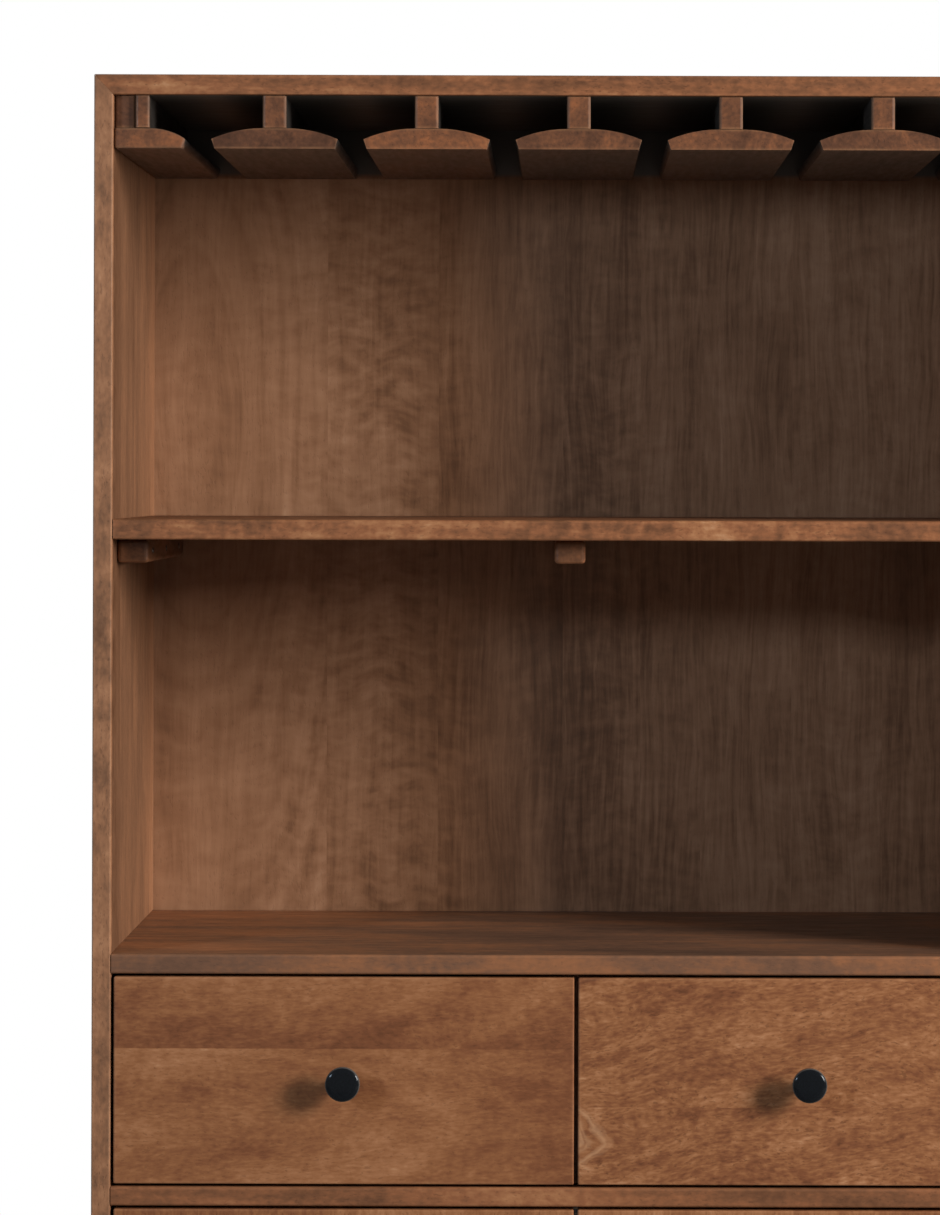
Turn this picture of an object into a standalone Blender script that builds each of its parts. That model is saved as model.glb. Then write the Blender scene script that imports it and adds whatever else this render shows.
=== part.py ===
"""Bar cabinet in solid mango wood: a stemware rack, an open bay with one shelf, a serving deck,
two drawers side by side and a two-door cupboard.

Units are metres, with +Z up. The cabinet stands on z = 0 and faces -Y. The origin lies on the floor,
under the middle of the outer box, which reaches from the knobs in front to the back panel behind.
"""

import math
from collections import namedtuple

import bmesh
import bpy
from mathutils import Matrix, Vector

# Outer size of the carcass
WIDTH = 0.900
DEPTH = 0.400
HEIGHT = 1.700

# Carcass boards
SIDE_THICKNESS = 0.018
TOP_THICKNESS = 0.019
DECK_THICKNESS = 0.0185
DUST_PANEL_THICKNESS = 0.018
BOTTOM_THICKNESS = 0.020
BACK_THICKNESS = 0.010
DIVIDER_THICKNESS = 0.018
PLINTH_THICKNESS = 0.018
EDGE_EASE = 0.0025
END_EASE_SHARE = 0.2
FRONT_EASE = 0.0015
HIDDEN_EASE = 0.0008
SHOWN_SEGMENTS = 3
HIDDEN_SEGMENTS = 1
SHARP_ANGLE = math.radians(35)
SQUARE_TOLERANCE = math.radians(1)

# Levels, from the top of the cabinet down and from the floor up
SHELF_DROP = 0.413
DECK_DROP = 0.8165
BASE_HEIGHT = 0.100
PLINTH_SETBACK = 0.035
PLINTH_FLOOR_GAP = 0.002

# Joinery
SEAT = 0.0003
MITRE_SEAT = 0.0001
HOUSING_DEPTH = 0.006
HOUSING_STOP = 0.012
BACK_REBATE = 0.009
CUT_OVERRUN = 0.005
WELD_DISTANCE = 0.00001

# Stemware rack: stems that hang from the top panel, each with a crowned flange below it
RACK_CHANNELS = 6
RACK_SETBACK = 0.004
RACK_STEM_WIDTH = 0.022
RACK_STEM_HEIGHT = 0.030
GLASS_SLOT = 0.024
END_RAIL_REACH = 0.0665
END_STEM_WIDTH = 0.013
END_SPACER_WIDTH = 0.0195
END_SPACER_SETBACK = 0.005
FLANGE_CROWN = 0.019
FLANGE_EDGE = 0.009
FLANGE_UNDERCUT = 0.003
FLANGE_EASE = 0.0020
CROWN_SEGMENTS = 6

# Open shelf and the battens that carry it
SHELF_THICKNESS = 0.019
SHELF_SETBACK = 0.001
SHELF_END_GAP = 0.0005
CLEAT_WIDTH = 0.029
CLEAT_HEIGHT = 0.022
CLEAT_SETBACK = 0.040
CLEAT_EASE = 0.0035
MIDDLE_BATTEN_OFFSET = -0.007

# Cupboard shelf
CUPBOARD_SHELF_THICKNESS = 0.018
CUPBOARD_SHELF_SETBACK = 0.060
CUPBOARD_SHELF_SHARE = 0.5

# Gaps round the inset drawer fronts and doors
FRONT_GAP = 0.0027
DRAWER_SIDE_GAP = 0.0027
MEETING_GAP = 0.0038

# Drawers: grooved sides that hang on wooden runners
DRAWER_FRONT_HEIGHT = 0.192
DRAWER_FRONT_THICKNESS = 0.018
DRAWER_LENGTH = 0.350
DRAWER_SIDE_THICKNESS = 0.015
DRAWER_SIDE_HEIGHT = 0.150
DRAWER_SIDE_LIFT = 0.014
DRAWER_BACK_THICKNESS = 0.012
DRAWER_BOTTOM_THICKNESS = 0.006
DRAWER_BOTTOM_LIFT = 0.010
DRAWER_HOUSING_DEPTH = 0.006
DRAWER_RUNNING_GAP = 0.002
RUNNER_THICKNESS = 0.010
RUNNER_HEIGHT = 0.018
RUNNER_LIFT = 0.070
RUNNER_PLAY = 0.0007

# Doors, butt hinges and the catch between the doors
DOOR_THICKNESS = 0.018
HINGE_LENGTH = 0.050
HINGE_INSET = 0.070
LEAF_THICKNESS = 0.0010
LEAF_SPACE = 0.0004
LEAF_WIDTH = 0.015
KNUCKLE_RADIUS = 0.0030
KNUCKLE_GAP = 0.0004
PIN_RADIUS = 0.0014
PIN_CLEARANCE = 0.0003
KNUCKLES_PER_HINGE = 5
ROUND_SEGMENTS = 16
CATCH_SIZE = (0.046, 0.014, 0.013)
CATCH_REACH = 0.0005

# Knobs
KNOB_RADIUS = 0.0160
KNOB_PROJECTION = 0.0270
KNOB_HEAD_DEPTH = 0.0090
KNOB_RIM_ROUND = 0.0032
KNOB_DOME = 0.0008
KNOB_NECK_RADIUS = 0.0065
KNOB_BASE_RADIUS = 0.0090
KNOB_BASE_DEPTH = 0.0025
KNOB_STUD_RADIUS = 0.0020
KNOB_STUD_LENGTH = 0.0120
KNOB_STUD_CLEARANCE = 0.0004
RIM_SEGMENTS = 3
KNOB_STEPS = 24
DOOR_KNOB_FROM_EDGE = 0.038
DOOR_KNOB_FROM_TOP = 0.110

# Places that follow from the sizes above
INNER = WIDTH / 2 - SIDE_THICKNESS
FRONT = -(DEPTH - KNOB_PROJECTION) / 2
REAR = FRONT + DEPTH
BACK_FACE = REAR - BACK_THICKNESS
PANEL_REAR = BACK_FACE - SEAT
TOP_UNDER = HEIGHT - TOP_THICKNESS
SHELF_TOP = HEIGHT - SHELF_DROP
SHELF_UNDER = SHELF_TOP - SHELF_THICKNESS
DECK_TOP = HEIGHT - DECK_DROP
DECK_UNDER = DECK_TOP - DECK_THICKNESS
DRAWER_TOP = DECK_UNDER - FRONT_GAP
DRAWER_UNDER = DRAWER_TOP - DRAWER_FRONT_HEIGHT
DUST_TOP = DRAWER_UNDER - FRONT_GAP
DUST_UNDER = DUST_TOP - DUST_PANEL_THICKNESS
BOTTOM_TOP = BASE_HEIGHT + BOTTOM_THICKNESS
DOOR_TOP = DUST_UNDER - FRONT_GAP
DOOR_UNDER = BOTTOM_TOP + FRONT_GAP
DOOR_HINGE_GAP = 2 * SEAT + 2 * LEAF_THICKNESS + LEAF_SPACE
HINGE_X = INNER - DOOR_HINGE_GAP / 2
HINGE_Y = FRONT - SEAT - KNUCKLE_RADIUS

# Edge rules: the width of the rounding, its segments, and the axis of the edges that get all of it
Edges = namedtuple("Edges", "width segments axis")
EDGES_ALONG_X = Edges(EDGE_EASE, SHOWN_SEGMENTS, "X")
EDGES_ALONG_Z = Edges(EDGE_EASE, SHOWN_SEGMENTS, "Z")
FLANGE_EDGES = Edges(FLANGE_EASE, SHOWN_SEGMENTS, None)
CLEAT_EDGES = Edges(CLEAT_EASE, SHOWN_SEGMENTS, None)
FRONT_EDGES = Edges(FRONT_EASE, SHOWN_SEGMENTS, None)
HIDDEN_EDGES = Edges(HIDDEN_EASE, HIDDEN_SEGMENTS, None)

# Finishes: base colour (linear RGB), roughness, metallic
FINISHES = {
    "mango_carcass": ((0.235, 0.098, 0.047), 0.50, 0.0),
    "mango_rack": ((0.205, 0.092, 0.048), 0.50, 0.0),
    "mango_shelf": ((0.230, 0.096, 0.047), 0.50, 0.0),
    "mango_front": ((0.238, 0.098, 0.042), 0.48, 0.0),
    "mango_veneer": ((0.190, 0.083, 0.042), 0.52, 0.0),
    "drawer_wood": ((0.330, 0.190, 0.100), 0.60, 0.0),
    "black_iron": ((0.008, 0.009, 0.010), 0.30, 0.0),
    "dark_steel": ((0.060, 0.050, 0.042), 0.42, 0.9),
    "black_plastic": ((0.015, 0.015, 0.015), 0.50, 0.0),
}


def clear_scene():
    """Removes what the scene holds, so that only the cabinet is left."""
    for thing in list(bpy.data.objects):
        bpy.data.objects.remove(thing, do_unlink=True)


def new_collection(name):
    """A collection linked to the scene."""
    collection = bpy.data.collections.new(name)
    bpy.context.scene.collection.children.link(collection)
    return collection


def finish_material(name):
    """The Principled material of a finish, made once."""
    if name in bpy.data.materials:
        return bpy.data.materials[name]
    colour, roughness, metallic = FINISHES[name]
    material = bpy.data.materials.new(name)
    material.use_nodes = True
    shader = material.node_tree.nodes["Principled BSDF"]
    shader.inputs["Base Color"].default_value = (*colour, 1.0)
    shader.inputs["Roughness"].default_value = roughness
    shader.inputs["Metallic"].default_value = metallic
    return material


def mirrored(hand, near, far):
    """The span between two distances from the middle, on the left (hand -1) or the right (hand 1)."""
    return tuple(sorted((hand * near, hand * far)))


def box_mesh(name, spans):
    """A box mesh about its own middle, and where that middle lies."""
    low = Vector(span[0] for span in spans)
    high = Vector(span[1] for span in spans)
    mesh = bpy.data.meshes.new(name)
    shape = bmesh.new()
    bmesh.ops.create_cube(shape, size=1.0)
    bmesh.ops.scale(shape, vec=high - low, verts=shape.verts)
    shape.to_mesh(mesh)
    shape.free()
    return mesh, (low + high) / 2


def outline_mesh(name, outline, thickness):
    """A flat outline in local XY, extruded both ways to its thickness along local Z."""
    curve = bpy.data.curves.new(name, "CURVE")
    curve.dimensions = "2D"
    curve.fill_mode = "BOTH"
    curve.extrude = thickness / 2
    spline = curve.splines.new("POLY")
    spline.points.add(len(outline) - 1)
    for point, (across, up) in zip(spline.points, outline):
        point.co = (across, up, 0.0, 1.0)
    spline.use_cyclic_u = True
    holder = bpy.data.objects.new(name, curve)
    bpy.context.scene.collection.objects.link(holder)
    graph = bpy.context.evaluated_depsgraph_get()
    mesh = bpy.data.meshes.new_from_object(holder.evaluated_get(graph))
    bpy.data.objects.remove(holder)
    bpy.data.curves.remove(curve)
    shape = bmesh.new()
    shape.from_mesh(mesh)
    bmesh.ops.remove_doubles(shape, verts=shape.verts, dist=WELD_DISTANCE)
    bmesh.ops.recalc_face_normals(shape, faces=shape.faces)
    shape.to_mesh(mesh)
    shape.free()
    return mesh


class Shop:
    """Where the pieces go: the cabinet's collection, the cutters' collection, and helpers that fill them."""

    def __init__(self):
        self.cabinet = new_collection("Bar cabinet")
        self.cutters = new_collection("Cutters")

    def carrier(self, name, place):
        """An empty on a joint's axis, which carries the pieces that move together."""
        empty = bpy.data.objects.new(name, None)
        empty.location = place
        self.cabinet.objects.link(empty)
        return empty

    def add(self, name, mesh, place, finish, carrier=None):
        """Puts a mesh in the cabinet as a named piece at a place given in the cabinet's frame."""
        piece = bpy.data.objects.new(name, mesh)
        mesh.materials.clear()
        mesh.materials.append(finish_material(finish))
        self.cabinet.objects.link(piece)
        self.set_down(piece, place, carrier)
        return piece

    def set_down(self, piece, place, carrier):
        """Places a piece or a cutter, on its carrier where it has one."""
        piece.parent = carrier
        piece.location = Vector(place) - (carrier.location if carrier else Vector())

    def cutter(self, name, mesh, place, carrier=None):
        """A helper that cuts or joins and is never part of the cabinet."""
        helper = bpy.data.objects.new(name, mesh)
        helper.hide_render = True
        helper.display_type = "WIRE"
        self.cutters.objects.link(helper)
        self.set_down(helper, place, carrier)
        return helper

    def board(self, name, x_span, y_span, z_span, finish, carrier=None, edges=None):
        """A board that fills three spans, its edges rounded as the edge rule says."""
        mesh, place = box_mesh(name, (x_span, y_span, z_span))
        piece = self.add(name, mesh, place, finish, carrier)
        ease_edges(piece, edges or HIDDEN_EDGES)
        return piece

    def box_cutter(self, name, x_span, y_span, z_span, carrier=None):
        """A box-shaped cutter that fills three spans."""
        mesh, place = box_mesh(name, (x_span, y_span, z_span))
        return self.cutter(name, mesh, place, carrier)

    def pin_cutter(self, name, radius, low, high, place, axis_turn, carrier=None):
        """A round cutter between two heights along its own axis, turned into place."""
        mesh = cylinders_mesh(name, radius, [(low, high)])
        helper = self.cutter(name, mesh, place, carrier)
        helper.rotation_euler = axis_turn
        return helper


def ease_edges(piece, edges):
    """Rounds a piece's sharp edges. With an axis, those along it are rounded fully, other square edges
    a little, and slanting ones not at all, so that a mitre stays closed."""
    bevel = piece.modifiers.new("eased_edges", "BEVEL")
    bevel.width = edges.width
    bevel.segments = edges.segments
    if edges.axis is None:
        bevel.limit_method = "ANGLE"
        bevel.angle_limit = SHARP_ANGLE
        return
    bevel.limit_method = "WEIGHT"
    mesh = piece.data
    weights = mesh.attributes.new("bevel_weight_edge", "FLOAT", "EDGE")
    for edge in mesh.edges:
        start, end = (mesh.vertices[index].co for index in edge.vertices)
        direction = [abs(part) for part in (end - start).normalized()]
        along = direction.index(max(direction))
        square = max(direction) > math.cos(SQUARE_TOLERANCE)
        full = square and "XYZ"[along] == edges.axis
        weights.data[edge.index].value = 1.0 if full else END_EASE_SHARE * square


def boolean(piece, helper, operation):
    """Cuts a helper out of a piece, or joins it to the piece."""
    modifier = piece.modifiers.new(f"{operation.lower()}_{helper.name}", "BOOLEAN")
    modifier.operation = operation
    modifier.solver = "EXACT"
    modifier.object = helper


def cylinders_mesh(name, radius, spans):
    """Round bars along local Z, one for each span, in one mesh."""
    mesh = bpy.data.meshes.new(name)
    shape = bmesh.new()
    for low, high in spans:
        bmesh.ops.create_cone(
            shape,
            cap_ends=True,
            segments=ROUND_SEGMENTS,
            radius1=radius,
            radius2=radius,
            depth=high - low,
            matrix=Matrix.Translation((0.0, 0.0, (low + high) / 2)),
        )
    shape.to_mesh(mesh)
    shape.free()
    return mesh


def build_carcass(shop):
    """Sides, top, deck, dust panel, bottom, cupboard shelf, divider, back and plinth."""
    sides = [side_panel(shop, "left", -1), side_panel(shop, "right", 1)]
    top = top_panel(shop)
    shelf_front = FRONT + DOOR_THICKNESS + CUPBOARD_SHELF_SETBACK
    housed_panel(shop, sides, "bar_deck", FRONT, (DECK_UNDER, DECK_TOP), "mango_carcass")
    housed_panel(shop, sides, "dust_panel", FRONT, (DUST_UNDER, DUST_TOP), "mango_carcass")
    housed_panel(shop, sides, "bottom_panel", FRONT, (BASE_HEIGHT, BOTTOM_TOP), "mango_carcass")
    housed_panel(shop, sides, "cupboard_shelf", shelf_front, cupboard_shelf_level(), "mango_shelf")

    shop.board(
        "back_panel",
        (-INNER - BACK_REBATE + SEAT, INNER + BACK_REBATE - SEAT),
        (BACK_FACE, REAR - SEAT),
        (BASE_HEIGHT, TOP_UNDER + BACK_REBATE - SEAT),
        "mango_veneer",
    )
    rebate = shop.box_cutter(
        "back_rebate",
        (-INNER - BACK_REBATE, INNER + BACK_REBATE),
        (BACK_FACE - SEAT, REAR + CUT_OVERRUN),
        (BASE_HEIGHT - SEAT, TOP_UNDER + BACK_REBATE),
    )
    for piece in (*sides, top):
        boolean(piece, rebate, "DIFFERENCE")

    shop.board(
        "drawer_divider",
        (-DIVIDER_THICKNESS / 2, DIVIDER_THICKNESS / 2),
        (FRONT + DRAWER_FRONT_THICKNESS + DRAWER_RUNNING_GAP, PANEL_REAR),
        (DUST_TOP + SEAT, DECK_UNDER - SEAT),
        "mango_carcass",
    )
    shop.board(
        "plinth_board",
        (-INNER + SEAT, INNER - SEAT),
        (FRONT + PLINTH_SETBACK, FRONT + PLINTH_SETBACK + PLINTH_THICKNESS),
        (PLINTH_FLOOR_GAP, BASE_HEIGHT - SEAT),
        "mango_carcass",
    )


def cupboard_shelf_level():
    """The span of heights that the cupboard's shelf fills, at its share of the cupboard's height."""
    under = BOTTOM_TOP + CUPBOARD_SHELF_SHARE * (DUST_UNDER - BOTTOM_TOP) - CUPBOARD_SHELF_THICKNESS / 2
    return under, under + CUPBOARD_SHELF_THICKNESS


def side_panel(shop, word, hand):
    """A side from the floor to the top, its upper end mitred to meet the top panel."""
    mesh, place = box_mesh(
        f"side_panel_{word}",
        (mirrored(hand, INNER, WIDTH / 2), (FRONT, REAR), (0.0, HEIGHT)),
    )
    for vertex in mesh.vertices:
        if vertex.co.z > 0 and vertex.co.x * hand < 0:
            vertex.co.z -= TOP_THICKNESS
    piece = shop.add(mesh.name, mesh, place, "mango_carcass")
    ease_edges(piece, EDGES_ALONG_Z)
    return piece


def top_panel(shop):
    """The top, mitred at both ends, with a hairline left at each mitre."""
    slope = math.hypot(SIDE_THICKNESS, TOP_THICKNESS) / TOP_THICKNESS
    hairline = MITRE_SEAT * slope
    mesh, place = box_mesh(
        "top_panel",
        ((-WIDTH / 2 + hairline, WIDTH / 2 - hairline), (FRONT, REAR), (TOP_UNDER, HEIGHT)),
    )
    for vertex in mesh.vertices:
        if vertex.co.z < 0:
            vertex.co.x -= math.copysign(SIDE_THICKNESS, vertex.co.x)
    piece = shop.add(mesh.name, mesh, place, "mango_carcass")
    ease_edges(piece, EDGES_ALONG_X)
    return piece


def housed_panel(shop, sides, name, front, level, finish):
    """A level board between the sides, with a tongue at each end in a housing that stops short of its front."""
    low, high = level
    shoulder = INNER - SEAT
    tongue = INNER + HOUSING_DEPTH - SEAT
    stop = front + HOUSING_STOP
    piece = shop.board(
        name, (-tongue, tongue), (front, PANEL_REAR), (low, high), finish, edges=EDGES_ALONG_X
    )
    for word, hand in (("left", -1), ("right", 1)):
        notch = shop.box_cutter(
            f"{name}_notch_{word}",
            mirrored(hand, shoulder, tongue + CUT_OVERRUN),
            (front - CUT_OVERRUN, stop),
            (low - CUT_OVERRUN, high + CUT_OVERRUN),
        )
        boolean(piece, notch, "DIFFERENCE")
    housing = shop.box_cutter(
        f"{name}_housing",
        (-INNER - HOUSING_DEPTH, INNER + HOUSING_DEPTH),
        (stop - SEAT, BACK_FACE + CUT_OVERRUN),
        (low - SEAT, high + SEAT),
    )
    for side in sides:
        boolean(side, housing, "DIFFERENCE")


def build_rack(shop):
    """The stemware rack: a stem and a crowned flange for each rail, half rails at the sides."""
    y_span = (FRONT + RACK_SETBACK, PANEL_REAR)
    full_rails = RACK_CHANNELS - 1
    flange_width = (2 * INNER - 2 * END_RAIL_REACH - RACK_CHANNELS * GLASS_SLOT) / full_rails
    pitch = flange_width + GLASS_SLOT
    overhang = (flange_width - RACK_STEM_WIDTH) / 2
    flat = (-RACK_STEM_WIDTH / 2, RACK_STEM_WIDTH / 2)
    for index in range(1, RACK_CHANNELS):
        middle = (index - RACK_CHANNELS / 2) * pitch
        rack_stem(shop, f"rack_stem_{index}", (middle + flat[0], middle + flat[1]), y_span)
        rack_flange(shop, f"rack_flange_{index}", middle, y_span, flat, (overhang, overhang))

    wall = INNER - SEAT
    stem_outer = wall - END_SPACER_WIDTH - SEAT
    stem_inner = stem_outer - END_STEM_WIDTH
    end_overhang = stem_inner - (INNER - END_RAIL_REACH)
    spacer_span = (y_span[0] + END_SPACER_SETBACK, y_span[1])
    for word, hand in (("left", -1), ("right", 1)):
        rack_stem(shop, f"rack_spacer_{word}", mirrored(hand, wall - END_SPACER_WIDTH, wall), spacer_span)
        rack_stem(shop, f"rack_stem_end_{word}", mirrored(hand, stem_inner, stem_outer), y_span)
        half = (wall - stem_inner) / 2
        middle = hand * (wall + stem_inner) / 2
        overhangs = (0.0, end_overhang)[::-hand]
        rack_flange(shop, f"rack_flange_end_{word}", middle, y_span, (-half, half), overhangs)


def rack_stem(shop, name, x_span, y_span):
    """A bar under the top panel that carries a flange, or fills the space beside an end rail."""
    high = TOP_UNDER - SEAT
    shop.board(name, x_span, y_span, (high - RACK_STEM_HEIGHT, high), "mango_rack", edges=EDGES_ALONG_Z)


def rack_flange(shop, name, middle, y_span, flat, overhangs):
    """A flange that a glass foot rests on: flat below, crowned above, thin at its free edges."""
    left = [(-across, up) for across, up in reversed(flange_edge(-flat[0], overhangs[0]))]
    mesh = outline_mesh(name, flange_edge(flat[1], overhangs[1]) + left, y_span[1] - y_span[0])
    under = TOP_UNDER - RACK_STEM_HEIGHT - 2 * SEAT - FLANGE_CROWN
    piece = shop.add(name, mesh, (middle, sum(y_span) / 2, under), "mango_rack")
    piece.rotation_euler = (math.pi / 2, 0.0, 0.0)
    ease_edges(piece, FLANGE_EDGES)


def flange_edge(half, overhang):
    """Half of the flange's section, from its underside out, up and along the crown to the stem."""
    if overhang == 0.0:
        return [(half, 0.0), (half, FLANGE_CROWN)]
    drop = FLANGE_CROWN - FLANGE_EDGE
    radius = (overhang**2 + drop**2) / (2 * drop)
    edge = [(half + overhang - FLANGE_UNDERCUT, 0.0)]
    for step in range(CROWN_SEGMENTS, -1, -1):
        run = overhang * step / CROWN_SEGMENTS
        fall = radius - math.sqrt(radius**2 - run**2)
        edge.append((half + run, FLANGE_CROWN - fall))
    return edge


def build_shelf(shop):
    """The open shelf, on a cleat at each side and a batten under its middle."""
    ends = INNER - SHELF_END_GAP
    shop.board(
        "middle_shelf",
        (-ends, ends),
        (FRONT + SHELF_SETBACK, PANEL_REAR),
        (SHELF_UNDER, SHELF_TOP),
        "mango_shelf",
        edges=EDGES_ALONG_X,
    )
    wall = INNER - SEAT
    middle = (MIDDLE_BATTEN_OFFSET - CLEAT_WIDTH / 2, MIDDLE_BATTEN_OFFSET + CLEAT_WIDTH / 2)
    places = {
        "shelf_cleat_left": mirrored(-1, wall - CLEAT_WIDTH, wall),
        "shelf_cleat_right": mirrored(1, wall - CLEAT_WIDTH, wall),
        "shelf_batten_middle": middle,
    }
    top = SHELF_UNDER - SEAT
    for name, x_span in places.items():
        y_span = (FRONT + CLEAT_SETBACK, PANEL_REAR)
        shop.board(name, x_span, y_span, (top - CLEAT_HEIGHT, top), "mango_shelf", edges=CLEAT_EDGES)


def build_drawer(shop, word, hand):
    """One drawer with its two runners. Outer means the side panel's side, inner the divider's."""
    box_outer = INNER - DRAWER_RUNNING_GAP
    box_inner = DIVIDER_THICKNESS / 2 + DRAWER_RUNNING_GAP
    front_outer = INNER - DRAWER_SIDE_GAP
    front_inner = MEETING_GAP / 2
    front_back = FRONT + DRAWER_FRONT_THICKNESS
    box_rear = front_back + DRAWER_LENGTH
    side_under = DRAWER_UNDER + DRAWER_SIDE_LIFT
    side_top = side_under + DRAWER_SIDE_HEIGHT
    bottom_under = side_under + DRAWER_BOTTOM_LIFT
    bottom_top = bottom_under + DRAWER_BOTTOM_THICKNESS
    runner_under = side_under + RUNNER_LIFT
    runner_top = runner_under + RUNNER_HEIGHT
    middle_x = hand * (front_outer + front_inner) / 2
    middle_z = (DRAWER_UNDER + DRAWER_TOP) / 2
    carrier = shop.carrier(f"drawer_{word}", (middle_x, FRONT, middle_z))

    front = shop.board(
        f"drawer_{word}_front",
        mirrored(hand, front_inner, front_outer),
        (FRONT, front_back),
        (DRAWER_UNDER, DRAWER_TOP),
        "mango_front",
        carrier,
        FRONT_EDGES,
    )
    side_lines = {
        "outer": (box_outer - DRAWER_SIDE_THICKNESS, box_outer),
        "inner": (box_inner, box_inner + DRAWER_SIDE_THICKNESS),
    }
    walls = {"outer": INNER, "inner": DIVIDER_THICKNESS / 2}
    bottom_groove = shop.box_cutter(
        f"drawer_{word}_bottom_groove",
        mirrored(
            hand,
            side_lines["inner"][1] - DRAWER_HOUSING_DEPTH,
            side_lines["outer"][0] + DRAWER_HOUSING_DEPTH,
        ),
        (front_back - DRAWER_HOUSING_DEPTH, box_rear + CUT_OVERRUN),
        (bottom_under - SEAT, bottom_top + SEAT),
        carrier,
    )
    boolean(front, bottom_groove, "DIFFERENCE")
    for place, (near, far) in side_lines.items():
        side = shop.board(
            f"drawer_{word}_{place}_side",
            mirrored(hand, near, far),
            (front_back - DRAWER_HOUSING_DEPTH + SEAT, box_rear),
            (side_under, side_top),
            "drawer_wood",
            carrier,
        )
        housing = shop.box_cutter(
            f"drawer_{word}_{place}_housing",
            mirrored(hand, near - SEAT, far + SEAT),
            (front_back - DRAWER_HOUSING_DEPTH, front_back + CUT_OVERRUN),
            (side_under - SEAT, side_top + SEAT),
            carrier,
        )
        boolean(front, housing, "DIFFERENCE")
        boolean(side, bottom_groove, "DIFFERENCE")
        wall = walls[place]
        inward = -1 if place == "outer" else 1
        reach = wall + inward * RUNNER_THICKNESS
        groove = shop.box_cutter(
            f"drawer_{word}_{place}_runner_groove",
            mirrored(hand, wall, reach + inward * SEAT),
            (front_back, box_rear + CUT_OVERRUN),
            (runner_under - RUNNER_PLAY, runner_top + SEAT),
            carrier,
        )
        boolean(side, groove, "DIFFERENCE")
        shop.board(
            f"drawer_{word}_{place}_runner",
            mirrored(hand, wall + inward * SEAT, reach),
            (front_back + DRAWER_RUNNING_GAP, PANEL_REAR),
            (runner_under, runner_top),
            "mango_carcass",
        )

    between = mirrored(hand, side_lines["inner"][1] + SEAT, side_lines["outer"][0] - SEAT)
    shop.board(
        f"drawer_{word}_back",
        between,
        (box_rear - DRAWER_BACK_THICKNESS, box_rear),
        (bottom_top + SEAT, side_top),
        "drawer_wood",
        carrier,
    )
    shop.board(
        f"drawer_{word}_bottom",
        mirrored(
            hand,
            side_lines["inner"][1] - DRAWER_HOUSING_DEPTH + SEAT,
            side_lines["outer"][0] + DRAWER_HOUSING_DEPTH - SEAT,
        ),
        (front_back - DRAWER_HOUSING_DEPTH + SEAT, box_rear),
        (bottom_under, bottom_top),
        "drawer_wood",
        carrier,
    )
    knob(shop, f"drawer_{word}_knob", (middle_x, FRONT, middle_z), front, carrier)


def build_door(shop, word, hand):
    """One door on two butt hinges, with its knob near the meeting edge."""
    carrier = shop.carrier(f"door_{word}", (hand * HINGE_X, HINGE_Y, (DOOR_UNDER + DOOR_TOP) / 2))
    panel = shop.board(
        f"door_{word}_panel",
        mirrored(hand, MEETING_GAP / 2, INNER - DOOR_HINGE_GAP),
        (FRONT, FRONT + DOOR_THICKNESS),
        (DOOR_UNDER, DOOR_TOP),
        "mango_front",
        carrier,
        FRONT_EDGES,
    )
    knob_x = hand * (MEETING_GAP / 2 + DOOR_KNOB_FROM_EDGE)
    knob_place = (knob_x, FRONT, DOOR_TOP - DOOR_KNOB_FROM_TOP)
    knob(shop, f"door_{word}_knob", knob_place, panel, carrier)
    heights = {"upper": DOOR_TOP - HINGE_INSET, "lower": DOOR_UNDER + HINGE_INSET}
    for place, height in heights.items():
        axis = (hand * HINGE_X, HINGE_Y, height)
        hinge_leaf(shop, f"door_{word}_{place}_frame_leaf", axis, hand, 0, None)
        hinge_leaf(shop, f"door_{word}_{place}_door_leaf", axis, -hand, 1, carrier)


def hinge_leaf(shop, name, axis, toward, first_knuckle, carrier):
    """A hinge leaf with every second knuckle. The frame's leaf, which has the end ones, holds the pin."""
    knuckle = HINGE_LENGTH / KNUCKLES_PER_HINGE
    plate_front = KNUCKLE_RADIUS + SEAT
    plate_rear = plate_front + LEAF_WIDTH
    half = HINGE_LENGTH / 2
    spans = []
    outline = [(plate_rear, half), (plate_rear, -half), (plate_front, -half)]
    for index in range(first_knuckle, KNUCKLES_PER_HINGE, 2):
        low = -half + index * knuckle + KNUCKLE_GAP / 2
        high = low + knuckle - KNUCKLE_GAP
        spans.append((low, high))
        tab_low = low + KNUCKLE_GAP
        tab_high = high - KNUCKLE_GAP
        outline += [(plate_front, tab_low), (0.0, tab_low), (0.0, tab_high), (plate_front, tab_high)]
    outline.append((plate_front, half))
    # The outline's own axes are Y and Z of the cabinet, so the plate is turned to stand on edge.
    mesh = outline_mesh(name, outline, LEAF_THICKNESS)
    stand_up = Matrix(((0, 0, 1, 0), (1, 0, 0, 0), (0, 1, 0, 0), (0, 0, 0, 1)))
    mesh.transform(stand_up)
    shift = toward * (LEAF_SPACE + LEAF_THICKNESS) / 2
    mesh.transform(Matrix.Translation((shift, 0.0, 0.0)))
    leaf = shop.add(name, mesh, axis, "dark_steel", carrier)

    knuckles = cylinders_mesh(f"{name}_knuckles", KNUCKLE_RADIUS, spans)
    boolean(leaf, shop.cutter(knuckles.name, knuckles, axis, carrier), "UNION")
    if first_knuckle == 0:
        pin_span = (-half + knuckle / 2, half - knuckle / 2)
        pin = cylinders_mesh(f"{name}_pin", PIN_RADIUS, [pin_span])
        boolean(leaf, shop.cutter(pin.name, pin, axis, carrier), "UNION")
    else:
        bore_span = (-half - CUT_OVERRUN, half + CUT_OVERRUN)
        bore = cylinders_mesh(f"{name}_bore", PIN_RADIUS + PIN_CLEARANCE, [bore_span])
        boolean(leaf, shop.cutter(bore.name, bore, axis, carrier), "DIFFERENCE")


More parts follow.
